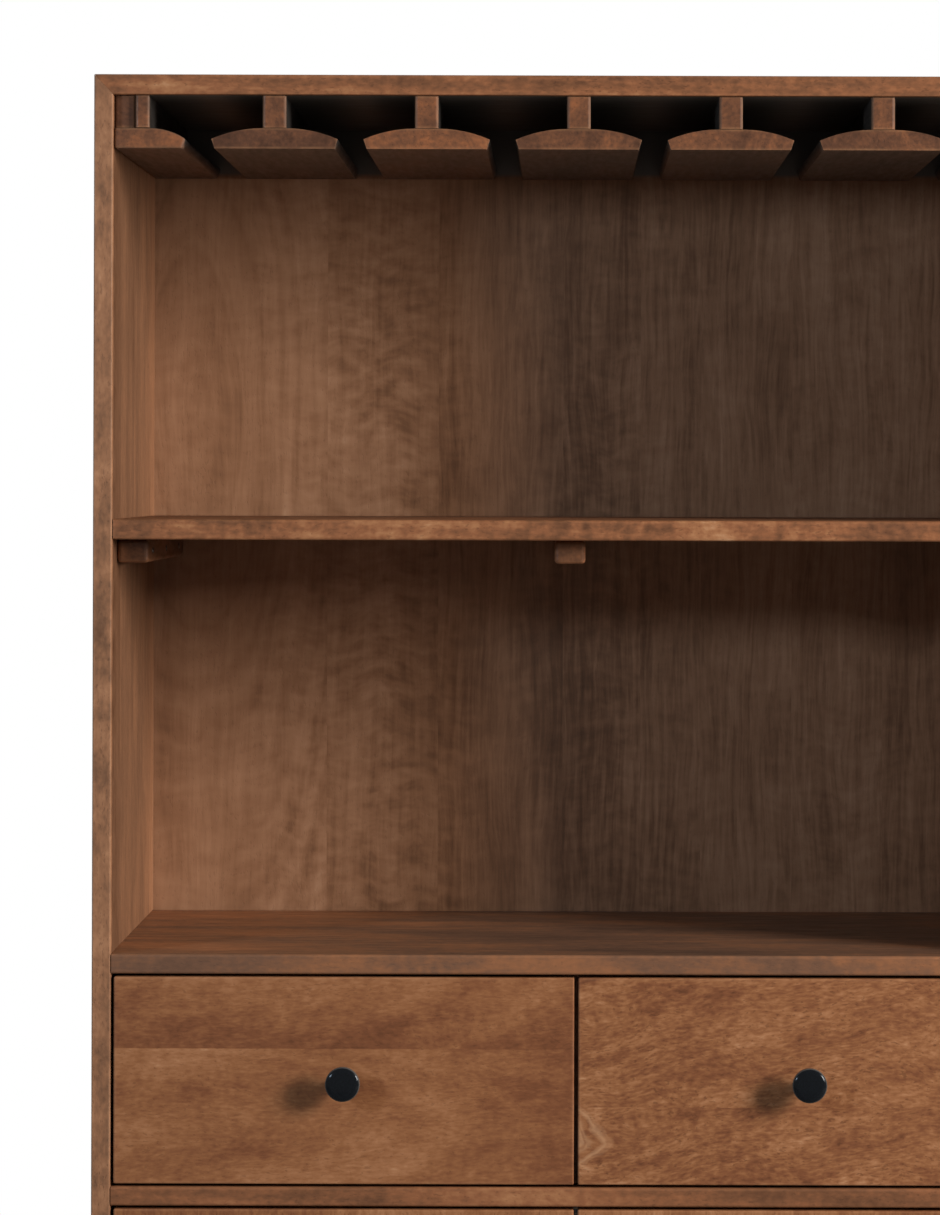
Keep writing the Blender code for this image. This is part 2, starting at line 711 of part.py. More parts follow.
def build_catch(shop):
    """The magnetic catch under the dust panel, which both doors close against."""
    width, depth, height = CATCH_SIZE
    front = FRONT + DOOR_THICKNESS + CATCH_REACH
    top = DUST_UNDER - SEAT
    shop.board(
        "door_catch",
        (-width / 2, width / 2),
        (front, front + depth),
        (top - height, top),
        "black_plastic",
    )


def knob_profile():
    """The knob's half section, from the middle of its face out, down its neck and along its stud."""
    head_under = KNOB_PROJECTION - KNOB_HEAD_DEPTH
    rim_middle = KNOB_RADIUS - KNOB_RIM_ROUND
    rim_top = KNOB_PROJECTION - KNOB_DOME
    profile = [(0.0, KNOB_PROJECTION)]
    for step in range(RIM_SEGMENTS + 1):
        angle = math.pi / 2 * (1 - step / RIM_SEGMENTS)
        across = rim_middle + KNOB_RIM_ROUND * math.cos(angle)
        profile.append((across, rim_top - KNOB_RIM_ROUND * (1 - math.sin(angle))))
    taper = (KNOB_RADIUS - KNOB_NECK_RADIUS) / 2
    profile += [
        (KNOB_RADIUS, head_under + KNOB_RIM_ROUND / 2),
        (KNOB_NECK_RADIUS + taper, head_under),
        (KNOB_NECK_RADIUS, head_under - KNOB_BASE_DEPTH),
        (KNOB_NECK_RADIUS, 2 * KNOB_BASE_DEPTH),
        (KNOB_BASE_RADIUS, KNOB_BASE_DEPTH),
        (KNOB_BASE_RADIUS, SEAT),
        (KNOB_STUD_RADIUS, SEAT),
        (KNOB_STUD_RADIUS, -KNOB_STUD_LENGTH),
        (0.0, -KNOB_STUD_LENGTH),
    ]
    return profile


def knob(shop, name, place, panel, carrier):
    """A turned knob on a drawer front or door, its stud in a hole bored for it."""
    profile = knob_profile()
    mesh = bpy.data.meshes.new(name)
    points = [(across, 0.0, out) for across, out in profile]
    links = [(index, index + 1) for index in range(len(points) - 1)]
    mesh.from_pydata(points, links, [])
    piece = shop.add(name, mesh, place, "black_iron", carrier)
    facing_front = (math.pi / 2, 0.0, 0.0)
    piece.rotation_euler = facing_front
    turn = piece.modifiers.new("turned", "SCREW")
    turn.axis = "Z"
    turn.steps = KNOB_STEPS
    turn.render_steps = KNOB_STEPS
    turn.use_merge_vertices = True
    turn.merge_threshold = WELD_DISTANCE
    hole = shop.pin_cutter(
        f"{name}_hole",
        KNOB_STUD_RADIUS + KNOB_STUD_CLEARANCE,
        -KNOB_STUD_LENGTH - KNOB_STUD_CLEARANCE,
        CUT_OVERRUN,
        place,
        facing_front,
        carrier,
    )
    boolean(panel, hole, "DIFFERENCE")


def main():
    """Builds the cabinet from the carcass outwards."""
    clear_scene()
    shop = Shop()
    build_carcass(shop)
    build_rack(shop)
    build_shelf(shop)
    for word, hand in (("left", -1), ("right", 1)):
        build_drawer(shop, word, hand)
        build_door(shop, word, hand)
    build_catch(shop)


main()
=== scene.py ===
"""Looks of the bar cabinet: lacquered mango wood, turned black knobs, hinges, screws and the studio.

Units are metres in the cabinet's own frame: +Z is up, the front faces -Y and the floor is z = 0.
"""

import logging
import math
import random
from collections.abc import Iterable, Mapping, Sequence
from dataclasses import dataclass, field, replace
from enum import Enum

import bmesh
import bpy
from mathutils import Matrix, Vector

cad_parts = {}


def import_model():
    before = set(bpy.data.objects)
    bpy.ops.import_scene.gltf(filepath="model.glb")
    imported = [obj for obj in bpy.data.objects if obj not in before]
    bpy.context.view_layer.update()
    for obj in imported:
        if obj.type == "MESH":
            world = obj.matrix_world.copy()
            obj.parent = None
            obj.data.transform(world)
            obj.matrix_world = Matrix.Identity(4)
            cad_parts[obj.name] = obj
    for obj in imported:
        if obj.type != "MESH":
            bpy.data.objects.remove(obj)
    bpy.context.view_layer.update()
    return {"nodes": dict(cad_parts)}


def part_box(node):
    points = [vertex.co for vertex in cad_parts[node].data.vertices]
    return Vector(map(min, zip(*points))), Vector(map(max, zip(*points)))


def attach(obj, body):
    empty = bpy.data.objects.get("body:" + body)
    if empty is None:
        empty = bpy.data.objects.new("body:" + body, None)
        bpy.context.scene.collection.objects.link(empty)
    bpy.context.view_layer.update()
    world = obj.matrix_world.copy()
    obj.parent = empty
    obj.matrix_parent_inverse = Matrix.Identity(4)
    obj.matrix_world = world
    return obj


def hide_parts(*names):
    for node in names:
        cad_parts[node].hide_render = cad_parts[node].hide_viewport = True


LOG = logging.getLogger("bar_cabinet")

PHOTO_WIDTH = 940
PHOTO_HEIGHT = 1215
SENSOR = 36.0
HANDS = (("left", -1), ("right", 1))

# Strips that are drawn by lot
STRIP_WIDTHS = (0.070, 0.125)
NARROWEST_STRIP = 0.045
PAST_EDGE = 0.001
STRIP_TONES = (0.42, 0.58)
TONE_PLAY = 0.06

# Where a board and its strips were cut from the log
LOG_SPREAD = 9.0
LOG_LENGTH = 3.7
LOG_DEPTH = 0.04
PITH_DEPTHS = (0.035, 0.080)
PITH_PLAY = 0.020
HEART_START = 0.2
HEART_RANGE = 0.6
GLUE_LINE = 0.0015

# Patterns of the wood: finer layers, ranges of noise that are spread from 0 to 1, and sizes of patches
PLAIN = 1.0
COARSE = 2.0
WAVY = 2.5
FINE = 3.0
GRITTY = 4.0
MIDDLE = 0.5
TONE_STOPS = (0.0, 0.30, 0.52, 0.74, 1.0)
STREAK_RANGE = (0.25, 0.75)
RING_RANGE = (0.22, 0.78)
PORE_RANGE = (0.86, 0.98)
RAY_RANGE = (0.50, 0.70)
SKIN_RANGE = (0.35, 0.80)
MOTTLE_PATCH = (0.200, 0.070)
MOTTLE_LEAST = 0.4
PORE_PATCH = (0.120, 0.030)
PORE_CROWDING = 0.16
WEAR_PATCH = (0.070, 0.020)
CROTCH_CORE = 0.25
CROTCH_WAVES = 1.6
FACING_POWER = 4.0
ENDLESS = 1000.0

# Steps of the rounded forms, and how close points are that become one
CORNER_STEPS = 6
FACE_STEPS = 6
SHOULDER_STEPS = 12
RIM_STEPS = 8
LIP_STEPS = 6
NECK_STEPS = 12
MERGE_DISTANCE = 0.000005

Socket = bpy.types.NodeSocket
Value = Socket | float | Sequence[float]


def linear(colour: str) -> tuple[float, float, float, float]:
    """Turns an sRGB hex colour into linear RGBA.

    Args:
        colour: The colour as #rrggbb.

    Returns:
        Its linear channels and an alpha of 1.
    """
    channels = [int(colour[start : start + 2], 16) / 255 for start in (1, 3, 5)]
    bent = [c / 12.92 if c <= 0.04045 else ((c + 0.055) / 1.055) ** 2.4 for c in channels]
    return (bent[0], bent[1], bent[2], 1.0)


def add_node(
    tree: bpy.types.NodeTree,
    kind: str,
    inputs: Mapping[str | int, Value] | None = None,
    stops: Iterable[tuple[float, Sequence[float]]] = (),
    **settings: object,
) -> bpy.types.Node:
    """Adds a node with its settings, and sets or links its inputs.

    Args:
        tree: The tree that gets the node.
        kind: The node's type.
        inputs: A value or an output socket for each input, by name or number.
        stops: Positions and colours of a colour ramp's stops.
        **settings: The node's own properties.

    Returns:
        The node.
    """
    node = tree.nodes.new(kind)
    for name, setting in settings.items():
        setattr(node, name, setting)
    for key, value in (inputs or {}).items():
        if isinstance(value, Socket):
            tree.links.new(value, node.inputs[key])
        else:
            node.inputs[key].default_value = value
    for number, (position, colour) in enumerate(stops):
        elements = node.color_ramp.elements
        stop = elements[number] if number < 2 else elements.new(position)
        stop.position = position
        stop.color = colour
    return node


def new_material(name: str) -> tuple[bpy.types.Material, bpy.types.NodeTree, bpy.types.Node]:
    """Makes a material.

    Args:
        name: The material's name.

    Returns:
        The material, its tree and its Principled shader.
    """
    material = bpy.data.materials.new(name)
    material.use_nodes = True
    return material, material.node_tree, material.node_tree.nodes["Principled BSDF"]


class Axis(Enum):
    """An axis of the cabinet's frame."""

    X = 0
    Y = 1
    Z = 2


@dataclass(frozen=True)
class Stave:
    """One of the strips that a wide panel is glued up from.

    Attributes:
        end: Where the strip ends, along the axis that the panel is glued up on.
        shift: Where in the log it was cut, from 0 to 1.
        tones: How dark or pale it is at its start and at its end, with 0.5 as the middle.
        mottle: How strongly its middle is mottled, from 0 to 1.
        streaky: How bold its streaks and flecks are, from 0 to 1.
        ringed: How bold its growth rings are, from 0 to 1.
    """

    end: float
    shift: float
    tones: tuple[float, float]
    mottle: float
    streaky: float = 1.0
    ringed: float = 1.0


@dataclass(frozen=True)
class Crotch:
    """Feathered figure where a branch left the trunk.

    Attributes:
        point: The middle of the figure.
        reach: How far it spreads.
        strength: How pale its rays are, from 0 to 1.
        slope: How far a ray falls back along the grain for its width across it.
        wander: How far a ray wanders, as a share of the reach.
        rays: How many rays there are in the reach.
    """

    point: tuple[float, float, float]
    reach: float
    strength: float
    slope: float = 1.1
    wander: float = 0.45
    rays: float = 3.2


@dataclass(frozen=True)
class PaintedShadeZone:
    """A box-shaped part of the cabinet in which the wood is painted dark as shade.

    Attributes:
        low: Its lowest corner.
        high: Its highest corner.
        soft: How far inside its faces the stain is whole.
    """

    low: Vector
    high: Vector
    soft: float = 0.004


@dataclass(frozen=True)
class Board:
    """A piece of wood in the cabinet, and how its grain lies.

    Attributes:
        node: The piece's name.
        grain: The axis that its fibres run along.
        staves: The strips that it is glued up from, or none to have them drawn by lot.
        lean: How far its grain leans in the plane of its face, in degrees.
        dive: How far its grain dives into the board, in degrees, which makes the arched figure.
        tone: How much paler, or darker below 0, it is than its finish.
        fade: How much paler its broad faces are at the low and the high end of the grain.
            On the deck it is painted shadow.
        tone_and_painted_shade_span: Where that change starts and where it ends, as shares of the board's
            length.
        figure: How bold its rings, streaks and pores are, with 1 as the usual.
        swirl: How far its grain wanders, with 1 as the usual.
        waves: Length and width of the waves that its grain wanders in.
        heart: How far past its middle, along the grain, the heart of the log lies.
        mottle: How strongly its figure is mottled, where its strips are drawn by lot.
        crotch: Feathered figure in it, or none.
        stain_and_painted_shade: Where its wood is painted dark as shade, or none.
    """

    node: str
    grain: Axis
    staves: tuple[Stave, ...] = ()
    lean: float = 0.0
    dive: float = 2.0
    tone: float = 0.0
    fade: tuple[float, float] = (0.0, 0.0)
    tone_and_painted_shade_span: tuple[float, float] = (0.0, 1.0)
    figure: float = 1.0
    swirl: float = 1.0
    waves: tuple[float, float] = (0.240, 0.060)
    heart: float = 0.0
    mottle: float = 0.35
    crotch: Crotch | None = None
    stain_and_painted_shade: PaintedShadeZone | None = None

    def span(self) -> tuple[Vector, Vector]:
        """Returns the lowest and the highest corner of the piece."""
        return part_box(self.node)

    def axes(self) -> tuple[int, int]:
        """Returns the axis across the grain on the broad face, and the axis through that face."""
        low, high = self.span()
        others = sorted({0, 1, 2} - {self.grain.value}, key=lambda axis: low[axis] - high[axis])
        return others[0], others[1]

    def sizes(self, along: float, across: float) -> list[float]:
        """Gives a pattern's size on each axis.

        Args:
            along: Its length along the grain.
            across: Its width across the grain.

        Returns:
            The size on X, Y and Z.
        """
        return [along if axis == self.grain.value else across for axis in range(3)]

    def glue_up(self) -> tuple[Stave, ...]:
        """Returns the board's strips, drawn by lot from its name where none are given."""
        if self.staves:
            return self.staves
        across, _ = self.axes()
        low, high = (corner[across] for corner in self.span())
        lot = random.Random(self.node)
        strips = []
        reached = low
        while reached < high:
            reached += lot.uniform(*STRIP_WIDTHS)
            if high - reached < NARROWEST_STRIP:
                reached = high + PAST_EDGE
            tone = lot.uniform(*STRIP_TONES)
            first = tone + lot.uniform(-TONE_PLAY, TONE_PLAY)
            last = tone + lot.uniform(-TONE_PLAY, TONE_PLAY)
            strips.append(Stave(reached, lot.random(), (first, last), self.mottle))
        return tuple(strips)


@dataclass(frozen=True)
class LacqueredMango:
    """Mango wood, given a staining and sprayed with satin lacquer.

    The staining evens the wood to a warm brown but leaves its growth rings, its fine streaks, dark pores
    and mottled figure. Handling has worn the arrises paler, and the lacquer keeps a low, soft sheen.

    Attributes:
        name: The finish's name.
        deep: Colour of the darkest streaks and pores.
        dusk: Colour of the darker rings.
        body: Colour of most of the wood.
        pale: Colour of the paler rings.
        glow: Colour of the palest flecks.
        worn: Colour of the arrises.
        channel_painted_shade: Colour of the painted shade in the channels of the rack.
        long_face_painted_light: Colour and strength of a greyer tone on the faces along the fibres, not on
        their ends: painted light that lifts the shaded sides and undersides of the rack's rails.
        roughness: Roughness of the lacquer.
        end_grain: How much darker the staining is on the ends of the fibres.
        ring: How wide a growth ring is.
        warp: How far the grain wanders.
        streak: Length and width of the fine streaks.
        fleck: Length and width of the flecks.
        drift: Length and width of the broad changes of tone.
        ripple: Length and width of the ripples in mottled figure.
        pore: Length and width of an open pore, drawn wider than it is so that it shows.
        ring_strength: How much the rings darken or lighten the wood, as the next six do.
        streak_strength: The same of the streaks.
        fleck_strength: The same of the flecks.
        drift_strength: The same of the broad changes.
        mottle_strength: The same of the mottle.
        tone_strength: The same of the strips' own tones.
        pore_strength: How dark the pores are.
        wear_width: How far from an arris the stain is worn.
        wear_strength: How much it is worn there.
        sheen_play: How much the roughness changes with the streaks.
        specular: Strength of the lacquer's reflections.
        relief: Height of the streaks and pores under the lacquer.
        relief_strength: How much of that height shows.
        pore_depth: How deep a pore is, as a share of the streaks' height.
    """

    name: str
    deep: str
    dusk: str
    body: str
    pale: str
    glow: str
    worn: str
    roughness: float
    channel_painted_shade: str = "#6a6159"
    long_face_painted_light: tuple[str, float] | None = None
    end_grain: float = 0.10
    ring: float = 0.0130
    warp: float = 0.018
    streak: tuple[float, float] = (0.045, 0.0060)
    fleck: tuple[float, float] = (0.0070, 0.0036)
    drift: tuple[float, float] = (0.170, 0.048)
    ripple: tuple[float, float] = (0.0120, 0.0180)
    pore: tuple[float, float] = (0.0048, 0.0019)
    ring_strength: float = 0.22
    streak_strength: float = 0.14
    fleck_strength: float = 0.22
    drift_strength: float = 0.46
    mottle_strength: float = 0.60
    tone_strength: float = 1.00
    pore_strength: float = 0.30
    wear_width: float = 0.0040
    wear_strength: float = 0.30
    sheen_play: float = 0.09
    specular: float = 0.16
    relief: float = 0.0003
    relief_strength: float = 0.30
    pore_depth: float = 0.8

    def material(self, board: Board) -> bpy.types.Material:
        """Makes the finish for one board, with the grain of that board.

        Args:
            board: The board that it is for.

        Returns:
            The material.
        """
        material, tree, shader = new_material(f"{self.name}_{board.node}")
        grain = WoodGrain(tree, board)
        tone, mottled, streaky, ringed, place = grain.strips()
        warped = grain.warped(place, self.warp * board.swirl)
        rings = grain.rings(warped, self.ring)
        streaks = grain.streaks(warped, self.streak, FINE)
        flecks = grain.streaks(warped, self.fleck, COARSE)
        drift = grain.streaks(place, self.drift, COARSE)
        mottle = grain.mottle(warped, self.ripple, mottled)
        layers = (
            (grain.weighted(rings, ringed), self.ring_strength * board.figure),
            (grain.weighted(streaks, streaky), self.streak_strength * board.figure),
            (grain.weighted(flecks, streaky), self.fleck_strength * board.figure),
            (drift, self.drift_strength),
            (mottle, self.mottle_strength),
            (tone, self.tone_strength),
        )
        value: Value = MIDDLE + board.tone - sum(strength for _, strength in layers) / 2
        for layer, strength in layers:
            value = grain.math("MULTIPLY_ADD", layer, strength, value)
        value = grain.math("MULTIPLY_ADD", grain.facing(board.grain.value), -self.end_grain, value)
        # Paler or darker along the grain; on the deck this is painted shadow.
        if any(board.fade):
            broad = grain.facing(grain.face)
            value = grain.math("MULTIPLY_ADD", grain.fade(), broad, value)
        shades = (self.deep, self.dusk, self.body, self.pale, self.glow)
        stops = [(stop, linear(shade)) for stop, shade in zip(TONE_STOPS, shades)]
        colour = add_node(tree, "ShaderNodeValToRGB", {"Fac": value}, stops).outputs["Color"]
        pores = grain.pores(warped, self.pore)
        stain_and_painted_shade = grain.math("MULTIPLY", pores, self.pore_strength * board.figure)
        colour = grain.mixed(stain_and_painted_shade, colour, linear(self.deep))
        if board.crotch:
            colour = grain.mixed(grain.feather(board.crotch), colour, linear(self.glow))
        # Painted light: a greyer tone on the faces along the fibres lifts the shaded sides and undersides
        # of the rails.
        if self.long_face_painted_light:
            long_face_painted_light, strength = self.long_face_painted_light
            share = grain.math("MULTIPLY_ADD", grain.facing(board.grain.value), -strength, strength)
            colour = grain.mixed(share, colour, linear(long_face_painted_light))
        wear = grain.math("MULTIPLY", grain.wear(self.wear_width), self.wear_strength)
        colour = grain.mixed(wear, colour, linear(self.worn))
        # Painted shade: inside the rack's channels the wood takes a near-black colour where shade falls.
        if board.stain_and_painted_shade:
            colour = grain.mixed(grain.within(board.stain_and_painted_shade), colour, linear(self.channel_painted_shade))
        tree.links.new(colour, shader.inputs["Base Color"])

        sheen = add_node(
            tree,
            "ShaderNodeMapRange",
            {
                "Value": streaks,
                "To Min": self.roughness + self.sheen_play,
                "To Max": self.roughness - self.sheen_play,
            },
        )
        tree.links.new(sheen.outputs["Result"], shader.inputs["Roughness"])
        height = grain.math("MULTIPLY_ADD", pores, -self.pore_depth, streaks)
        bump = add_node(
            tree,
            "ShaderNodeBump",
            {"Strength": self.relief_strength, "Distance": self.relief, "Height": height},
        )
        tree.links.new(bump.outputs["Normal"], shader.inputs["Normal"])
        shader.inputs["Specular IOR Level"].default_value = self.specular
        return material


class WoodGrain:
    """The patterns of one board's wood, in the tree of its material."""

    def __init__(self, tree: bpy.types.NodeTree, board: Board) -> None:
        """Finds where the board's patterns lie.

        Args:
            tree: The material's tree.
            board: The board.
        """
        self.tree = tree
        self.board = board
        self.low, self.high = board.span()
        self.across, self.face = board.axes()
        lot = random.Random(f"log of {board.node}")
        middle = (self.low + self.high) / 2
        self.origin = [coordinate + lot.uniform(-LOG_SPREAD, LOG_SPREAD) for coordinate in middle]
        self.lean = [0.0, 0.0, 0.0]
        self.lean[self.face] = math.radians(board.lean)
        self.pith = list(middle)
        self.pith[self.face] += lot.choice((-1, 1)) * lot.uniform(*PITH_DEPTHS)
        self.pith[self.across] = self.low[self.across] + lot.uniform(-PITH_PLAY, PITH_PLAY)
        self.pith[board.grain.value] += board.heart
        self.texture = add_node(tree, "ShaderNodeTexCoord")

    def math(self, operation: str, *values: Value) -> Socket:
        """Works out one step of arithmetic.

        Args:
            operation: The operation's name.
            *values: Its operands.

        Returns:
            The result.
        """
        return add_node(
            self.tree, "ShaderNodeMath", dict(enumerate(values)), operation=operation
        ).outputs["Value"]

    def mixed(self, share: Value, under: Value, over: Value) -> Socket:
        """Mixes two colours.

        Args:
            share: How much of the second colour shows.
            under: The first colour.
            over: The second colour.

        Returns:
            The mixed colour.
        """
        return add_node(
            self.tree, "ShaderNodeMix", {0: share, 6: under, 7: over}, data_type="RGBA"
        ).outputs[2]

    def weighted(self, layer: Socket, weight: Value) -> Socket:
        """Weakens a pattern about its middle.

        Args:
            layer: The pattern.
            weight: How much of it stays.

        Returns:
            The weakened pattern.
        """
        return self.math("MULTIPLY_ADD", self.math("SUBTRACT", layer, MIDDLE), weight, MIDDLE)

    def spread(self, noise: Socket, span: tuple[float, float], most: float = 1.0) -> Socket:
        """Spreads a range of noise.

        Args:
            noise: The noise.
            span: Its value that becomes 0, and its value that becomes the most.
            most: The most that it becomes.

        Returns:
            The noise, spread from 0 to the most and held there.
        """
        return add_node(
            self.tree,
            "ShaderNodeMapRange",
            {"Value": noise, "From Min": span[0], "From Max": span[1], "To Max": most},
        ).outputs["Result"]

    def strips(self) -> tuple[Socket, Socket, Socket, Socket, Socket]:
        """Lays the glued-up strips side by side, each cut about the heart of its own log.

        Returns:
            The tone of the strip at a place, how mottled, how streaky and how ringed it is, and that
            place in the strip's own log.
        """
        low = self.low[self.across]
        reach = self.high[self.across] - low
        shifts = []
        tones = []
        mottles = []
        start = 0.0
        for stave in self.board.glue_up():
            end = min((stave.end - low) / reach, 1.0)
            heart = start + (end - start) * (HEART_START + HEART_RANGE * stave.shift)
            shifts.append((start, (stave.shift, stave.streaky, heart, stave.ringed)))
            mottles.append(((start + end) / 2, (stave.mottle, stave.mottle, stave.mottle, 1.0)))
            for position, tone in zip((start + GLUE_LINE, end - GLUE_LINE), stave.tones):
                tones.append((position, (tone, tone, tone, 1.0)))
            start = end
        if len(shifts) == 1:
            shifts.append((1.0, shifts[0][1]))
            mottles.append((1.0, mottles[0][1]))
        place = self.texture.outputs["Object"]
        apart = add_node(self.tree, "ShaderNodeSeparateXYZ", {"Vector": place})
        share = add_node(
            self.tree,
            "ShaderNodeMapRange",
            {"Value": apart.outputs[self.across], "From Min": low, "From Max": low + reach},
        ).outputs["Result"]
        logs = add_node(self.tree, "ShaderNodeValToRGB", {"Fac": share}, shifts)
        logs.color_ramp.interpolation = "CONSTANT"
        tone = add_node(self.tree, "ShaderNodeValToRGB", {"Fac": share}, tones).outputs["Color"]
        mottle = add_node(self.tree, "ShaderNodeValToRGB", {"Fac": share}, mottles).outputs["Color"]
        channels = add_node(self.tree, "ShaderNodeSeparateColor", {"Color": logs.outputs["Color"]})
        away = [0.0, 0.0, 0.0]
        away[self.board.grain.value] = LOG_LENGTH
        away[self.face] = LOG_DEPTH
        aside = [0.0, 0.0, 0.0]
        aside[self.across] = -reach
        moved = add_node(
            self.tree,
            "ShaderNodeVectorMath",
            {0: channels.outputs["Red"], 1: away, 2: place},
            operation="MULTIPLY_ADD",
        ).outputs["Vector"]
        centred = add_node(
            self.tree,
            "ShaderNodeVectorMath",
            {0: channels.outputs["Blue"], 1: aside, 2: moved},
            operation="MULTIPLY_ADD",
        ).outputs["Vector"]
        return tone, mottle, channels.outputs["Green"], logs.outputs["Alpha"], centred

    def streaks(self, place: Socket, size: tuple[float, float], detail: float) -> Socket:
        """Draws noise out along the grain.

        Args:
            place: The coordinates that it lies on.
            size: The length of a streak along the grain, and its width.
            detail: How many finer layers it has.

        Returns:
            The noise, spread from 0 to 1.
        """
        stretched = add_node(
            self.tree,
            "ShaderNodeMapping",
            {
                "Vector": place,
                "Location": self.origin,
                "Rotation": self.lean,
                "Scale": self.board.sizes(*size),
            },
            vector_type="TEXTURE",
        )
        noise = add_node(
            self.tree,
            "ShaderNodeTexNoise",
            {"Vector": stretched.outputs["Vector"], "Scale": 1.0, "Detail": detail},
        )
        return self.spread(noise.outputs["Fac"], STREAK_RANGE)

    def warped(self, place: Socket, amount: float) -> Socket:
        """Bends the grain, as branches and uneven growth do.

        Args:
            place: The coordinates that are bent.
            amount: How far a place moves.

        Returns:
            The bent coordinates.
        """
        stretched = add_node(
            self.tree,
            "ShaderNodeMapping",
            {"Vector": place, "Location": self.origin, "Scale": self.board.sizes(*self.board.waves)},
            vector_type="TEXTURE",
        )
        noise = add_node(
            self.tree,
            "ShaderNodeTexNoise",
            {"Vector": stretched.outputs["Vector"], "Scale": 1.0, "Detail": WAVY},
        )
        return add_node(
            self.tree,
            "ShaderNodeVectorMath",
            {0: noise.outputs["Color"], 1: (amount, amount, amount), 2: place},
            operation="MULTIPLY_ADD",
        ).outputs["Vector"]

    def rings(self, place: Socket, width: float) -> Socket:
        """Cuts the board from growth rings round a pith that dives through it.

        Args:
            place: The coordinates of the log.
            width: How wide a ring is.

        Returns:
            The rings, from 0 for late wood to 1 for early wood.
        """
        turn = list(self.lean)
        turn[self.across] = math.radians(self.board.dive)
        from_pith = add_node(
            self.tree,
            "ShaderNodeMapping",
            {
                "Vector": place,
                "Location": self.pith,
                "Rotation": turn,
                "Scale": self.board.sizes(ENDLESS, width),
            },
            vector_type="TEXTURE",
        )
        radius = add_node(
            self.tree, "ShaderNodeVectorMath", {0: from_pith.outputs["Vector"]}, operation="LENGTH"
        )
        noise = add_node(
            self.tree,
            "ShaderNodeTexNoise",
            {"W": radius.outputs["Value"], "Scale": 1.0, "Detail": COARSE},
            noise_dimensions="1D",
        )
        return self.spread(noise.outputs["Fac"], RING_RANGE)

    def mottle(self, place: Socket, size: tuple[float, float], weight: Socket) -> Socket:
        """Ripples the fibres in patches, which shows as mottled figure.

        Args:
            place: The coordinates that it lies on.
            size: The length of a ripple along the grain, and its width.
            weight: How strong it is.

        Returns:
            The mottle, at its middle where there is none.
        """
        ripples = self.streaks(place, size, FINE)
        patches = self.streaks(place, MOTTLE_PATCH, PLAIN)
        uneven = self.math("MULTIPLY_ADD", patches, 1 - MOTTLE_LEAST, MOTTLE_LEAST)
        return self.weighted(ripples, self.math("MULTIPLY", uneven, weight))

    def pores(self, place: Socket, size: tuple[float, float]) -> Socket:
        """Cuts the wood's open pores. They are drawn wider than real ones, which would be too fine to show.

        Args:
            place: The coordinates that they lie on.
            size: The length of a pore along the grain, and its width.

        Returns:
            1 in a pore and 0 between pores.
        """
        dashes = self.streaks(place, size, PLAIN)
        crowded = self.streaks(place, PORE_PATCH, PLAIN)
        level = self.math("MULTIPLY_ADD", crowded, PORE_CROWDING, dashes)
        return self.spread(level, PORE_RANGE)

    def fade(self) -> Socket:
        """Returns how much paler a place is along the board's grain; on the deck it is painted shadow."""
        axis = self.board.grain.value
        low = self.low[axis]
        length = self.high[axis] - low
        start, end = self.board.tone_and_painted_shade_span
        first, last = self.board.fade
        apart = add_node(
            self.tree, "ShaderNodeSeparateXYZ", {"Vector": self.texture.outputs["Object"]}
        )
        return add_node(
            self.tree,
            "ShaderNodeMapRange",
            {
                "Value": apart.outputs[axis],
                "From Min": low + start * length,
                "From Max": low + end * length,
                "To Min": first,
                "To Max": last,
            },
        ).outputs["Result"]

    def feather(self, crotch: Crotch) -> Socket:
        """Draws pale rays that fan out on both sides of a crotch.

        Args:
            crotch: The crotch.

        Returns:
            How pale a place is, from 0 to 1.
        """
        size = (crotch.reach, crotch.reach, crotch.reach)
        near = add_node(
            self.tree,
            "ShaderNodeMapping",
            {"Vector": self.texture.outputs["Object"], "Location": crotch.point, "Scale": size},
            vector_type="TEXTURE",
        ).outputs["Vector"]
        noise = add_node(
            self.tree, "ShaderNodeTexNoise", {"Vector": near, "Scale": CROTCH_WAVES, "Detail": FINE}
        ).outputs["Color"]
        wander = (crotch.wander, crotch.wander, crotch.wander)
        bent = add_node(
            self.tree, "ShaderNodeVectorMath", {0: noise, 1: wander, 2: near}, operation="MULTIPLY_ADD"
        ).outputs["Vector"]
        distance = add_node(self.tree, "ShaderNodeVectorMath", {0: bent}, operation="LENGTH")
        close = add_node(
            self.tree,
            "ShaderNodeMapRange",
            {"Value": distance.outputs["Value"], "From Min": 1.0, "From Max": CROTCH_CORE},
            interpolation_type="SMOOTHSTEP",
        ).outputs["Result"]
        apart = add_node(self.tree, "ShaderNodeSeparateXYZ", {"Vector": bent}).outputs
        aside = self.math("ABSOLUTE", apart[self.across])
        front = self.math("MULTIPLY_ADD", aside, crotch.slope, apart[self.board.grain.value])
        rays = add_node(
            self.tree,
            "ShaderNodeTexNoise",
            {"W": front, "Scale": crotch.rays, "Detail": COARSE},
            noise_dimensions="1D",
        )
        pale = self.spread(rays.outputs["Fac"], RAY_RANGE, crotch.strength)
        return self.math("MULTIPLY", close, pale)

    def facing(self, axis: int) -> Socket:
        """Returns 1 where the surface looks along an axis, and 0 where it lies along it."""
        apart = add_node(
            self.tree, "ShaderNodeSeparateXYZ", {"Vector": self.texture.outputs["Normal"]}
        )
        return self.math("POWER", self.math("ABSOLUTE", apart.outputs[axis]), FACING_POWER)

